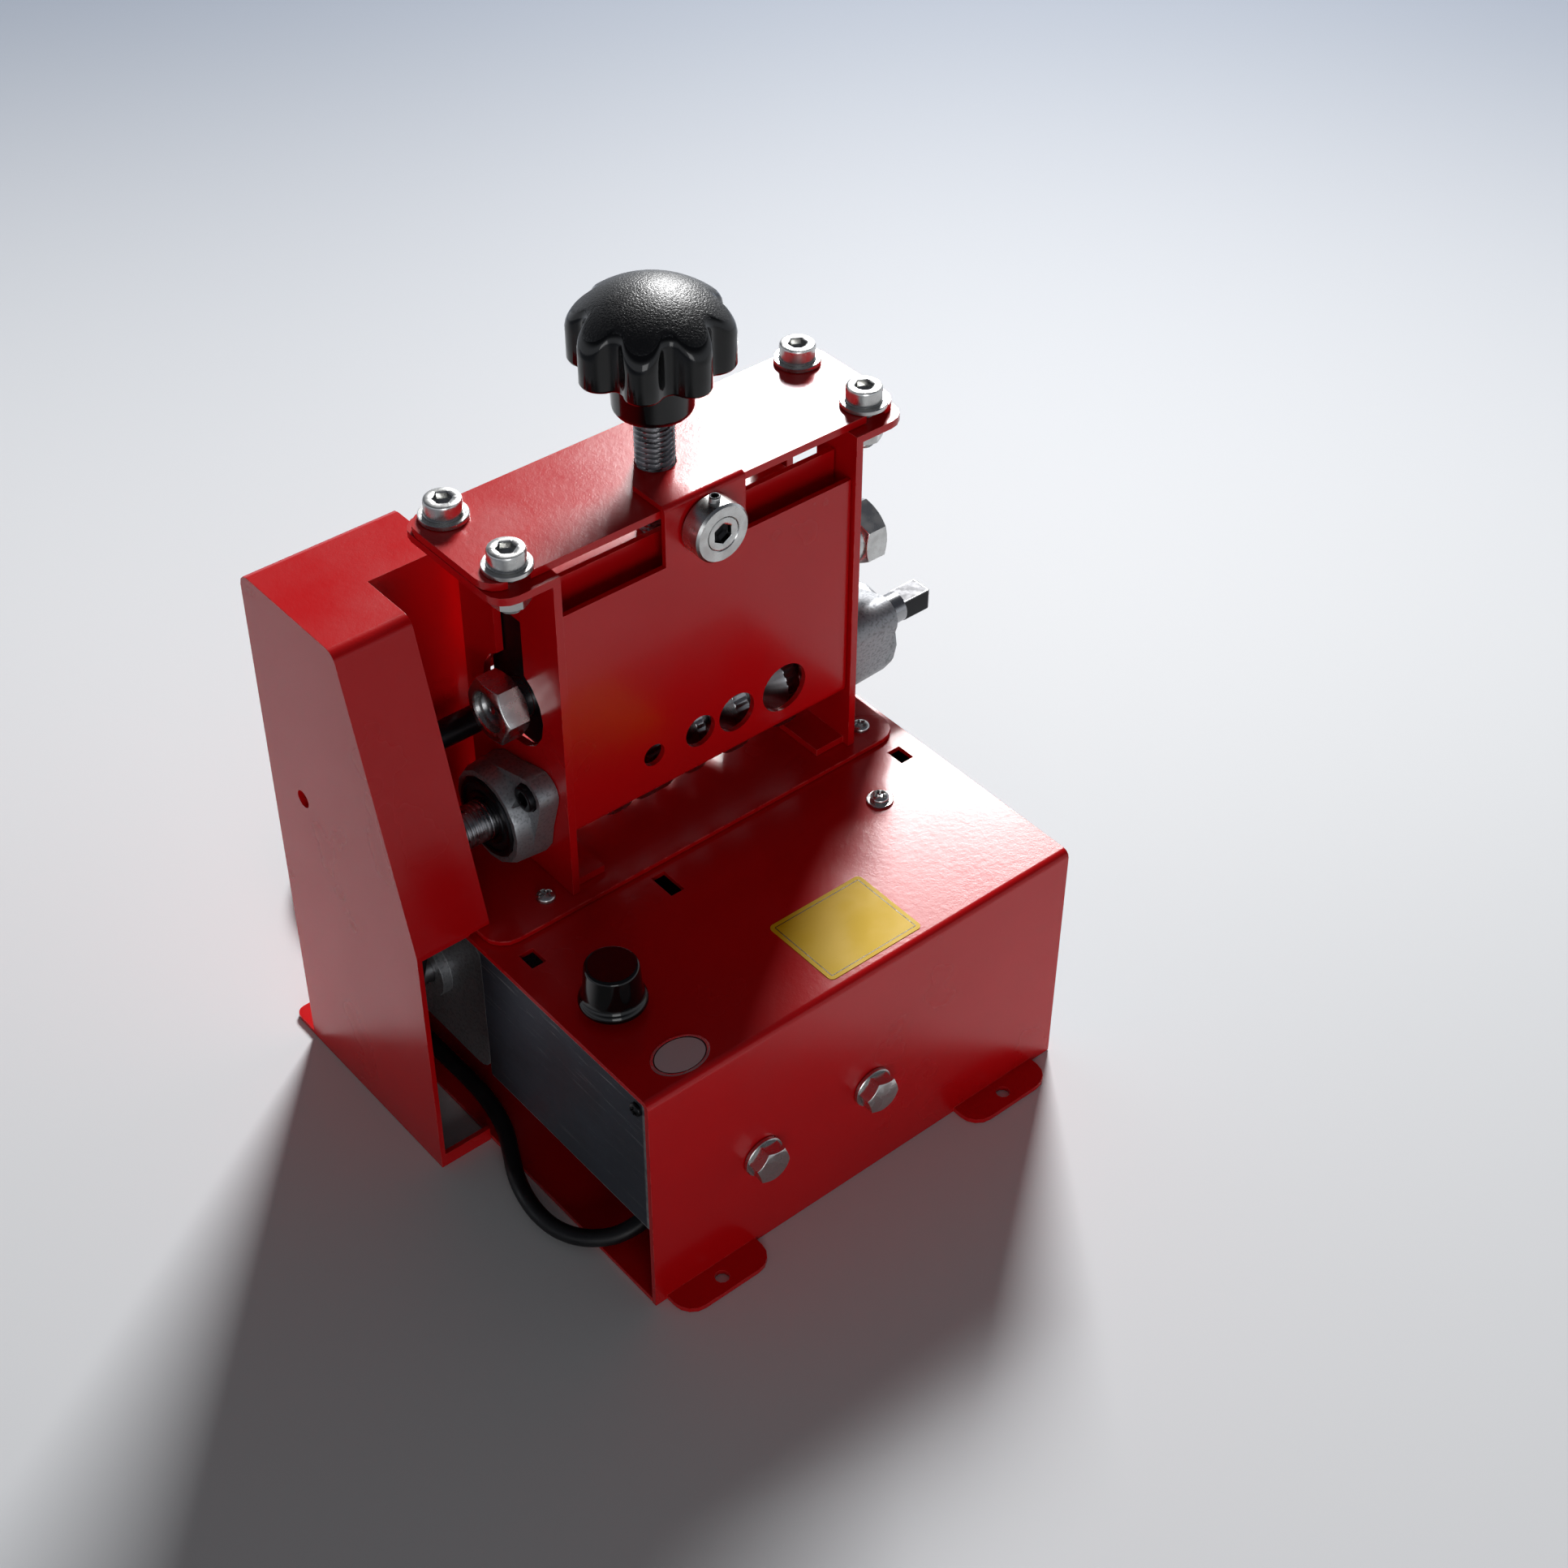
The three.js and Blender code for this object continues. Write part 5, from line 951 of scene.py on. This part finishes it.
class MACHINE_OT_motor(bpy.types.Operator):
    """Motor and speed control board"""
    bl_idname = "machine.motor"
    bl_label = "Motor"

    def execute(self, context):
        dressed("motor", "motor_paint", 0.4)
        dressed("control_board", "circuit_board", 0.2)
        return {"FINISHED"}


class MACHINE_OT_belt_drive(bpy.types.Operator):
    """Toothed belt, its pulleys and the gearbox shaft"""
    bl_idname = "machine.belt_drive"
    bl_label = "Belt drive"

    def execute(self, context):
        dressed("drive_belt", "black_rubber", 0.2)
        for node in ("drive_pulley", "driven_pulley"):
            dressed(node, "zinc_plate", 0.2)
        dressed("gearbox_shaft", "turned_steel", 0.4)
        return {"FINISHED"}


class MACHINE_OT_feed_roller(bpy.types.Operator):
    """Fluted roller with its grooves, and its shaft with a square end"""
    bl_idname = "machine.feed_roller"
    bl_label = "Feed roller"

    def execute(self, context):
        self.roller(context.scene.machine_sizes.flute_depth / MM)
        self.shaft()
        return {"FINISHED"}

    def roller(self, depth):
        low, high, axis = reach_of("feed_roller")
        collar = 6.0
        radius = (high.z - low.z) / 2
        rows = [(low.x, 7.8), (low.x, 11.5), (low.x + 0.5, 12), (low.x + collar, 12),
                (low.x + collar, radius - 1), (low.x + collar + 1, radius)]
        for centre, width in GROOVES:
            floor = radius - 0.4 * width
            rows += [(centre - width / 2 - 0.3, radius), (centre - width / 2 + 0.3, radius - 0.25),
                     (centre - 0.1 * width, floor), (centre + 0.1 * width, floor),
                     (centre + width / 2 - 0.3, radius - 0.25), (centre + width / 2 + 0.3, radius)]
        rows += [(high.x - collar - 1, radius), (high.x - collar, radius - 1), (high.x - collar, 12),
                 (high.x - 0.5, 12), (high.x, 11.5), (high.x, 7.8)]
        sides = 160
        mesh = turned(rows, sides, closed=True)
        for vert in mesh.verts:
            reach = math.hypot(vert.co.x, vert.co.y)
            step = round(math.atan2(vert.co.y, vert.co.x) / TURN * sides) % 4
            if reach > radius - 0.1 and step in (0, 1):
                vert.co.x *= 1 - depth / radius
                vert.co.y *= 1 - depth / radius
        piece("feed_roller_look", facing(mesh, "right", axis.y, axis.z), "turned_steel", "feed_roller")

    def shaft(self):
        low, high, axis = reach_of("roller_shaft")
        bearing_end = reach_of("bearing_insert_right")[1].x + 1
        square_start = high.x - 14
        step = -97
        ridge = -95.0
        ridges_end = -74.5
        rows = [(low.x, 0), (low.x, 5.4), (low.x + 0.6, 6.0), (step, 6.0), (step, 7.1), (step + 0.4, 7.5)]
        while ridge < ridges_end:
            rows += [(ridge, 7.5), (ridge + 0.35, 7.2), (ridge + 0.75, 7.2), (ridge + 1.1, 7.5)]
            ridge += 1.7
        rows += [(bearing_end - 0.4, 7.5), (bearing_end, 7.1), (bearing_end, 6.0), (square_start + 0.4, 6.0),
                 (square_start + 1, 5.4), (square_start + 1, 0)]
        round_part = facing(turned(rows, 64), "right", axis.y, axis.z)
        half = 4.5
        square = bar((square_start + 0.2, high.x), (axis.y - half, axis.y + half),
                     (axis.z - half, axis.z + half))
        end = [line for line in square.edges if all(vert.co.x > high.x - 0.1 for vert in line.verts)]
        rounded(square, end, 1.0, 1)
        softened(square, 0.35, 35.0)
        whole = together(round_part, square)
        # The ridged end left of the bearing takes the darker spindle steel as painted shade, for the shadow
        # it lies in
        marked(whole, lambda face, centre: 2 if centre.x < ridges_end else
               centre.x > square_start + 1.05 and face.calc_area() > 4)
        piece("roller_shaft_look", whole, ["turned_steel", "black_steel", "spindle_steel"], "roller_shaft")


class MACHINE_OT_blades(bpy.types.Operator):
    """Disc blades on their hubs, and the blade shaft with its nuts"""
    bl_idname = "machine.blades"
    bl_label = "Blades"

    def execute(self, context):
        for number, (centre, _) in enumerate(GROOVES, 1):
            self.blade(f"cutter_blade_{number}", centre)
        self.shaft()
        return {"FINISHED"}

    def blade(self, node, centre):
        low, high, axis = reach_of(node)
        radius = (high.z - low.z) / 2
        hub = 10.0
        half = 1.5
        rows = [(low.x, 7.8), (low.x, hub - 0.5), (low.x + 0.5, hub)]
        rows += [(centre - half, hub), (centre - half, radius - 5.2), (centre - half + 0.15, radius - 4.8),
                 (centre - 0.12, radius - 0.05), (centre, radius), (centre + 0.12, radius - 0.05),
                 (centre + half - 0.15, radius - 4.8), (centre + half, radius - 5.2), (centre + half, hub)]
        rows += [(high.x - 0.5, hub), (high.x, hub - 0.5), (high.x, 7.8)]
        mesh = facing(turned(rows, 96, closed=True), "right", axis.y, axis.z)
        piece(f"{node}_look", mesh, "turned_steel", node)

    def shaft(self):
        low, high, axis = reach_of("blade_shaft")
        radius = (high.z - low.z) / 2
        rows = [(low.x + 1.6, 0), (low.x, 1.8), (low.x, radius - 1), (low.x + 1, radius),
                (high.x - 1, radius), (high.x, radius - 1), (high.x, 1.8), (high.x - 1.6, 0)]
        piece("blade_shaft_look", facing(turned(rows, 64), "right", axis.y, axis.z), "turned_steel",
              "blade_shaft")
        for side in ("left", "right"):
            node = f"shaft_nut_{side}"
            low, high, _ = reach_of(node)
            foot, top = sorted((abs(low.x), abs(high.x)))
            height = min(top - foot, 10.5)
            mesh = softened(hex_body(22.0, top - height, top, 15.4, both=True), 0.25, 50.0)
            if top - foot > height:
                mesh = together(mesh, washer(foot, top - height + 0.1, 20.0, 15.4))
            piece(f"{node}_look", facing(mesh, side, axis.y, axis.z), "zinc_plate", node)


class MACHINE_OT_bearings(bpy.types.Operator):
    """Bearing inserts with their shields, and the socket screws of the housings"""
    bl_idname = "machine.bearings"
    bl_label = "Bearings"

    def execute(self, context):
        for side in ("left", "right"):
            self.insert(side)
            for number in (1, 2):
                self.bolt(side, f"bearing_bolt_{side}_{number}")
        return {"FINISHED"}

    def insert(self, side):
        node = f"bearing_insert_{side}"
        low, high, axis = reach_of(node)
        foot, top = sorted((abs(low.x), abs(high.x)))
        rows = [(foot, 7.8), (foot, 15.5), (top - 0.6, 15.5), (top, 14.9), (top, 13.4), (top - 0.9, 13.2),
                (top - 0.7, 10.4), (top - 0.1, 10.2), (top, 9.9), (top, 8.2), (top - 0.4, 7.8)]
        mesh = facing(turned(rows, 96, closed=True), side, axis.y, axis.z)
        marked(mesh, lambda face, centre: abs(centre.x) > top - 1 and
               10.3 < math.hypot(centre.y - axis.y, centre.z - axis.z) < 13.3)
        piece(f"{node}_look", mesh, ["black_steel", "black_rubber"], node)

    def bolt(self, side, node):
        low, high, axis = reach_of(node)
        tail, top = sorted((abs(low.x), abs(high.x)))
        head = 5.0
        mesh = together(socket_cap(10.0, top - head, top, 5.0, 2.4),
                        threaded(tail, top - head, 6.0, 1.0, 0.5, 24),
                        hex_body(10.0, tail + 1.0, tail + 6.0, 5.2, both=True))
        piece(f"{node}_look", facing(mesh, side, axis.y, axis.z), "black_steel", node)


class MACHINE_OT_spindle(bpy.types.Operator):
    """Threaded spindle, its clip and its nut under the top plate"""
    bl_idname = "machine.spindle"
    bl_label = "Spindle"

    def execute(self, context):
        sizes = context.scene.machine_sizes
        low, high, axis = reach_of("spindle")
        clip_foot = 211.2
        clip_top = 213.7
        shoulder = 220.3
        thread_end = 270.0
        neck = turned([(low.z, 0), (low.z, 3.5), (low.z + 0.5, 4.0), (clip_foot, 4.0), (clip_foot, 7.0),
                       (clip_top, 7.0), (clip_top, 4.0), (shoulder + 0.2, 4.0), (shoulder + 0.2, 0)], 48)
        thread = threaded(shoulder, thread_end, 14.0, sizes.thread_pitch / MM, sizes.thread_depth / MM, 64)
        plain = rod(thread_end - 0.1, high.z, 14.0, 0.3)
        mesh = facing(together(neck, thread, plain), "up", axis.x, axis.y)
        piece("spindle_look", mesh, "spindle_steel", "spindle")
        low, high, _ = reach_of("spindle_nut")
        nut = facing(hex_body(22.0, low.z, high.z, 14.3, both=True), "up", axis.x, axis.y)
        piece("spindle_nut_look", nut, "zinc_plate", "spindle_nut")
        return {"FINISHED"}


class MACHINE_OT_star_knob(bpy.types.Operator):
    """Eight-lobed knob with a grained dome and glossy sides"""
    bl_idname = "machine.star_knob"
    bl_label = "Star knob"

    lobes = 8
    lobe_centre = 21.5
    lobe_radius = 6.5
    hollow_centre = 26.386
    hollow_radius = 4.0
    lobe_end = math.radians(15.03)

    def outline(self, angle):
        """Distance from the axis to the lobed side."""
        half = math.pi / self.lobes
        lean = abs((angle + half) % (2 * half) - half)
        if lean <= self.lobe_end:
            return self.lobe_centre * math.cos(lean) + math.sqrt(
                self.lobe_radius ** 2 - (self.lobe_centre * math.sin(lean)) ** 2)
        lean = half - lean
        return self.hollow_centre * math.cos(lean) - math.sqrt(
            self.hollow_radius ** 2 - (self.hollow_centre * math.sin(lean)) ** 2)

    def execute(self, context):
        low, high, _ = reach_of("star_knob")
        reach = self.lobe_centre + self.lobe_radius
        dome = 37.61
        edge = 3.0
        bottom = 285.0
        bore_end = 292.2
        rings = (0, 3, 6, 9, 12, 15, 18, 20, 22, 24, 25, 25.8, 26.5, 27.1, 27.6, 28)
        rows = [(high.z, radius) for radius in rings]
        rows += [(297.0, reach), (292.0, reach), (bottom + 1.6, reach), (bottom + 0.6, reach - 0.6),
                 (bottom, reach - 1.6), (bottom, 15.3), (bottom - 0.8, 14.5), (low.z + 3, 14.0),
                 (low.z + 1.85, 13.77), (low.z + 0.88, 13.12), (low.z + 0.23, 12.15), (low.z, 11.0),
                 (low.z, 7.7), (low.z + 0.5, 7.2), (bore_end, 7.2), (bore_end, 0)]
        mesh = turned(rows, 160)
        for vert in mesh.verts:
            radius = math.hypot(vert.co.x, vert.co.y)
            if radius < 0.01 or vert.co.z < bottom - 0.1 or (vert.co.z < bottom + 8 and radius < 16):
                continue
            share = min(max((radius - 10) / 12, 0.0), 1.0)
            share = share * share * (3 - 2 * share)
            lobed = self.outline(math.atan2(vert.co.y, vert.co.x)) - (reach - radius)
            wanted = radius + (lobed - radius) * share
            if vert.co.z > high.z - 1:
                inset = max(edge - (reach - radius), 0.0)
                vert.co.z = high.z - dome + math.sqrt(dome ** 2 - wanted ** 2)
                vert.co.z -= edge - math.sqrt(edge ** 2 - inset ** 2)
            vert.co.x *= wanted / radius
            vert.co.y *= wanted / radius
        mesh.normal_update()
        marked(mesh, lambda face, centre: face.normal.z <= 0.66)
        facing(mesh, "up", SPINDLE_X, SPINDLE_Y)
        piece("star_knob_look", mesh, ["black_plastic", "gloss_plastic"], "star_knob", smooth=50.0)
        return {"FINISHED"}


class MACHINE_OT_speed_control(bpy.types.Operator):
    """Speed knob, and the control's bush and nut under it"""
    bl_idname = "machine.speed_control"
    bl_label = "Speed control"

    def execute(self, context):
        low, high, axis = reach_of("speed_knob")
        rows = [(low.z, 3.3), (low.z, 11.2), (low.z + 0.3, 11.7), (low.z + 0.9, 12.0), (low.z + 1.8, 12.0),
                (low.z + 2.6, 11.7), (low.z + 3.2, 11.2), (low.z + 3.8, 10.75), (low.z + 4.6, 10.5),
                (low.z + 5.6, 10.35), (high.z - 1.2, 9.5), (high.z - 0.7, 9.37), (high.z - 0.3, 9.05),
                (high.z - 0.06, 8.6), (high.z, 8.1), (high.z, 0), (high.z - 5, 0), (high.z - 5, 3.3)]
        mesh = turned(rows, 96)
        facing(mesh, "up", axis.x, axis.y)
        piece("speed_knob_look", mesh, "gloss_plastic", "speed_knob", smooth=40.0)
        low, high, axis = reach_of("speed_control")
        can_top = 101.7
        bush_top = 107.5
        can = turned([(low.z, 0), (low.z, 8.0), (low.z + 0.5, 8.5), (can_top - 0.3, 8.5), (can_top, 8.2),
                      (can_top, 0)], 48)
        bush = threaded(can_top - 0.2, bush_top, 7.0, 0.75, 0.35, 32)
        stem = rod(bush_top - 0.5, high.z, 6.0)
        nut = hex_body(10.0, 104.3, 106.5, 7.2, both=True)
        mesh = facing(together(can, bush, stem, nut), "up", axis.x, axis.y)
        piece("speed_control_look", mesh, "zinc_plate", "speed_control")
        return {"FINISHED"}


class MACHINE_OT_bolts(bpy.types.Operator):
    """Top plate bolts with spring washers, cradle bolts and the guard's pillar"""
    bl_idname = "machine.bolts"
    bl_label = "Bolts"

    def execute(self, context):
        for number in (1, 2, 3, 4):
            self.top_bolt(f"top_bolt_{number}")
        for number in (1, 2):
            self.cradle_bolt(f"cradle_bolt_{number}")
        # The guard's pillar is black as painted shade, so it stays dark in the shadowed gap between guard and
        # frame
        dressed("guard_pillar", "black_steel", 0.3)
        return {"FINISHED"}

    def top_bolt(self, node):
        low, high, axis = reach_of(node)
        plate = 247.6
        flat = washer(plate, plate + 1.6, 17.0, 8.4)
        spring = self.spring_washer(plate + 1.65, 0.72, 13.6, 8.4)
        head = socket_cap(13.0, high.z - 5.0, high.z, 6.0, 2.5, 1.0)
        shank = m8_thread(low.z, high.z - 4.9)
        nut = m8_nut(234.2, 240.7)
        mesh = facing(together(flat, spring, head, shank, nut), "up", axis.x, high.y - 8.5)
        piece(f"{node}_look", mesh, "zinc_plate", node)

    def spring_washer(self, foot, height, diameter, bore):
        """A ring with its rim pulled in at one place, for the split of a spring washer."""
        mesh = washer(foot, foot + height, diameter, bore, 0.2)
        cut = [vert for vert in mesh.verts if abs(math.atan2(vert.co.y, vert.co.x) - 0.6) < 0.04]
        for vert in cut:
            reach = math.hypot(vert.co.x, vert.co.y)
            share = (reach - 0.8) / reach if reach > bore / 2 + 0.5 else 1.0
            vert.co.x *= share
            vert.co.y *= share
        return mesh

    def cradle_bolt(self, node):
        low, high, axis = reach_of(node)
        seat = 96.9
        flat = washer(seat - 1.6, seat, 16.0, 8.4)
        head = hex_body(13.0, seat, -low.y)
        shank = m8_thread(-high.y, seat)
        nut = m8_nut(82.9, 89.4)
        bmesh.ops.rotate(head, cent=(0, 0, 0), matrix=Matrix.Rotation(math.radians(17), 3, "Z"),
                         verts=head.verts[:])
        mesh = facing(together(flat, head, shank, nut), "front", axis.x, axis.z)
        piece(f"{node}_look", softened(mesh, 0.12, 50.0, 1), "zinc_plate", node)


class MACHINE_OT_cover_clamp(bpy.types.Operator):
    """Collar in the front cover's bracket, with its socket screw and grub screw"""
    bl_idname = "machine.cover_clamp"
    bl_label = "Cover clamp"

    def execute(self, context):
        low, high, _ = reach_of("cover_collar")
        back, face = -high.y, -low.y
        rows = [(back, 4.3), (back, 10.2), (back + 0.8, 11.0), (face - 0.8, 11.0), (face, 10.2), (face, 6.6),
                (face - 0.3, 6.3), (face - 3.3, 6.3), (face - 3.3, 4.3)]
        ring = facing(turned(rows, 80, closed=True), "front", SPINDLE_X, COLLAR_Z)
        grub = facing(socket_cap(4.0, 244.0, high.z, 2.0, 1.2, 0.3), "up", SPINDLE_X, -4.8)
        whole = together(ring, grub)
        marked(whole, lambda face, centre: centre.z > COLLAR_Z + 11.2)
        piece("cover_collar_look", whole, ["zinc_plate", "black_steel"], "cover_collar")
        low, high, _ = reach_of("collar_screw")
        head = socket_cap(12.4, 6.3, -low.y, 7.0, 2.2, 0.4)
        shank = m8_thread(-high.y, 6.4)
        nut = m8_nut(-6.3, -2.3)
        mesh = facing(together(head, shank, nut), "front", SPINDLE_X, COLLAR_Z)
        # The socket's inner faces take black steel as painted shade in the recess
        marked(mesh, lambda face, centre: low.y + 0.3 < centre.y < low.y + 2.9 and
               math.hypot(centre.x - SPINDLE_X, centre.z - COLLAR_Z) < 3.9)
        piece("collar_screw_look", mesh, ["zinc_plate", "black_steel"], "collar_screw")
        return {"FINISHED"}


class MACHINE_OT_small_parts(bpy.types.Operator):
    """Small screws and the two blank plates on the base"""
    bl_idname = "machine.small_parts"
    bl_label = "Small parts"

    def execute(self, context):
        top = reach_of("frame_base")[1].z
        base = reach_of("base_shell")[1].z
        for number, (x, y) in enumerate(((-65.0, 3.5), (82.0, 3.5)), 1):
            mesh = facing(cross_head(top + 0.1, top + 2.6, 7.0), "up", x, y)
            piece(f"frame_screw_{number}", mesh, "zinc_plate", body="root")
        flat = washer(base + 0.05, base + 1.0, 10.0, 3.0)
        mesh = facing(together(flat, cross_head(base + 1.0, base + 3.6, 7.0)), "up", 61.7, -30.6)
        piece("top_screw", mesh, "zinc_plate", body="root")
        self.panel_screws()
        self.plates(context, base)
        return {"FINISHED"}

    def panel_screws(self):
        left = -reach_of("control_tray")[0].x
        right = reach_of("right_end_plate")[1].x
        for number, (way, face, y, z) in enumerate((
                ("left", left, -88.2, 96.7), ("right", right, -88.2, 96.7), ("right", right, 88.2, 96.7),
                ("right", right, -88.2, 6.8), ("right", right, 88.2, 6.8)), 1):
            mesh = facing(cross_head(face + 0.1, face + 1.9, 5.4), way, y, z)
            piece(f"panel_screw_{number}", mesh, "black_steel", body="root")

    def plates(self, context, base):
        sizes = context.scene.machine_sizes
        centre = (8.0, -73.0)
        half = (sizes.plate_length / MM / 2, sizes.plate_width / MM / 2)
        plate = bar((centre[0] - half[0], centre[0] + half[0]), (centre[1] - half[1], centre[1] + half[1]),
                    (base + 0.03, base + 0.22))
        rounded(plate, upright(plate), 2.0, 5)
        bmesh.ops.recalc_face_normals(plate, faces=plate.faces[:])
        top = [face for face in plate.faces if face.normal.z > 0.9]
        for width, finish in ((1.6, 0), (0.35, 1)):
            ring = bmesh.ops.inset_region(plate, faces=top, thickness=width, use_even_offset=True)
            for face in ring["faces"]:
                face.material_index = finish
        piece("yellow_plate", plate, ["yellow_plate", "black_plastic"], body="root")
        oval = turned([(base + 0.03, 0), (base + 0.03, 11.0), (base + 0.25, 11.0), (base + 0.3, 10.9),
                       (base + 0.3, 9.9), (base + 0.24, 9.8), (base + 0.24, 9.4), (base + 0.3, 9.3),
                       (base + 0.3, 0)], 72)
        rim = 9.85
        groove = 9.35
        marked(oval, lambda face, centre: 1 if math.hypot(centre.x, centre.y) > rim else
               2 * (math.hypot(centre.x, centre.y) > groove))
        bmesh.ops.scale(oval, vec=(1.0, 0.73, 1.0), verts=oval.verts[:])
        piece("oval_plate", facing(oval, "up", -74.0, -84.0), ["silver_plate", "zinc_plate", "black_steel"],
              body="root")


PIECES = (MACHINE_OT_stage, MACHINE_OT_lead, MACHINE_OT_sheet_metal, MACHINE_OT_castings, MACHINE_OT_motor,
          MACHINE_OT_belt_drive, MACHINE_OT_feed_roller, MACHINE_OT_blades, MACHINE_OT_bearings,
          MACHINE_OT_spindle, MACHINE_OT_star_knob, MACHINE_OT_speed_control, MACHINE_OT_bolts,
          MACHINE_OT_cover_clamp, MACHINE_OT_small_parts)


class MACHINE_OT_finishes(bpy.types.Operator):
    """Materials, and their place on the CAD nodes"""
    bl_idname = "machine.finishes"
    bl_label = "Finishes"

    def execute(self, context):
        tones = context.scene.machine_colours
        for make in FINISHES:
            make(tones)
        for item in frame["nodes"].values():
            for slot in item.material_slots:
                slot.material = finishes[slot.material.name.split(".")[0]]
        return {"FINISHED"}


class MACHINE_PT_sidebar(bpy.types.Panel):
    """The machine's colours, sizes and pieces"""
    bl_idname = "MACHINE_PT_sidebar"
    bl_label = "Cable stripping machine"
    bl_space_type = "VIEW_3D"
    bl_region_type = "UI"
    bl_category = "Machine"

    def draw(self, context):
        layout = self.layout
        scene = context.scene
        for group in (scene.machine_colours, scene.machine_sizes, scene.machine_stage):
            box = layout.box()
            for name in group.__annotations__:
                box.prop(group, name)
        layout.operator(MACHINE_OT_finishes.bl_idname)
        for operator in PIECES:
            layout.operator(operator.bl_idname)


CLASSES = (MachineColours, MachineSizes, MachineStage, MACHINE_OT_finishes, *PIECES, MACHINE_PT_sidebar)


def register():
    for each in CLASSES:
        bpy.utils.register_class(each)
    bpy.types.Scene.machine_colours = bpy.props.PointerProperty(type=MachineColours)
    bpy.types.Scene.machine_sizes = bpy.props.PointerProperty(type=MachineSizes)
    bpy.types.Scene.machine_stage = bpy.props.PointerProperty(type=MachineStage)


def unregister():
    del bpy.types.Scene.machine_stage
    del bpy.types.Scene.machine_sizes
    del bpy.types.Scene.machine_colours
    for each in reversed(CLASSES):
        bpy.utils.unregister_class(each)


def main():
    register()
    bpy.ops.machine.finishes()
    for operator in PIECES:
        group, name = operator.bl_idname.split(".")
        getattr(getattr(bpy.ops, group), name)()


if __name__ == "__main__":
    main()
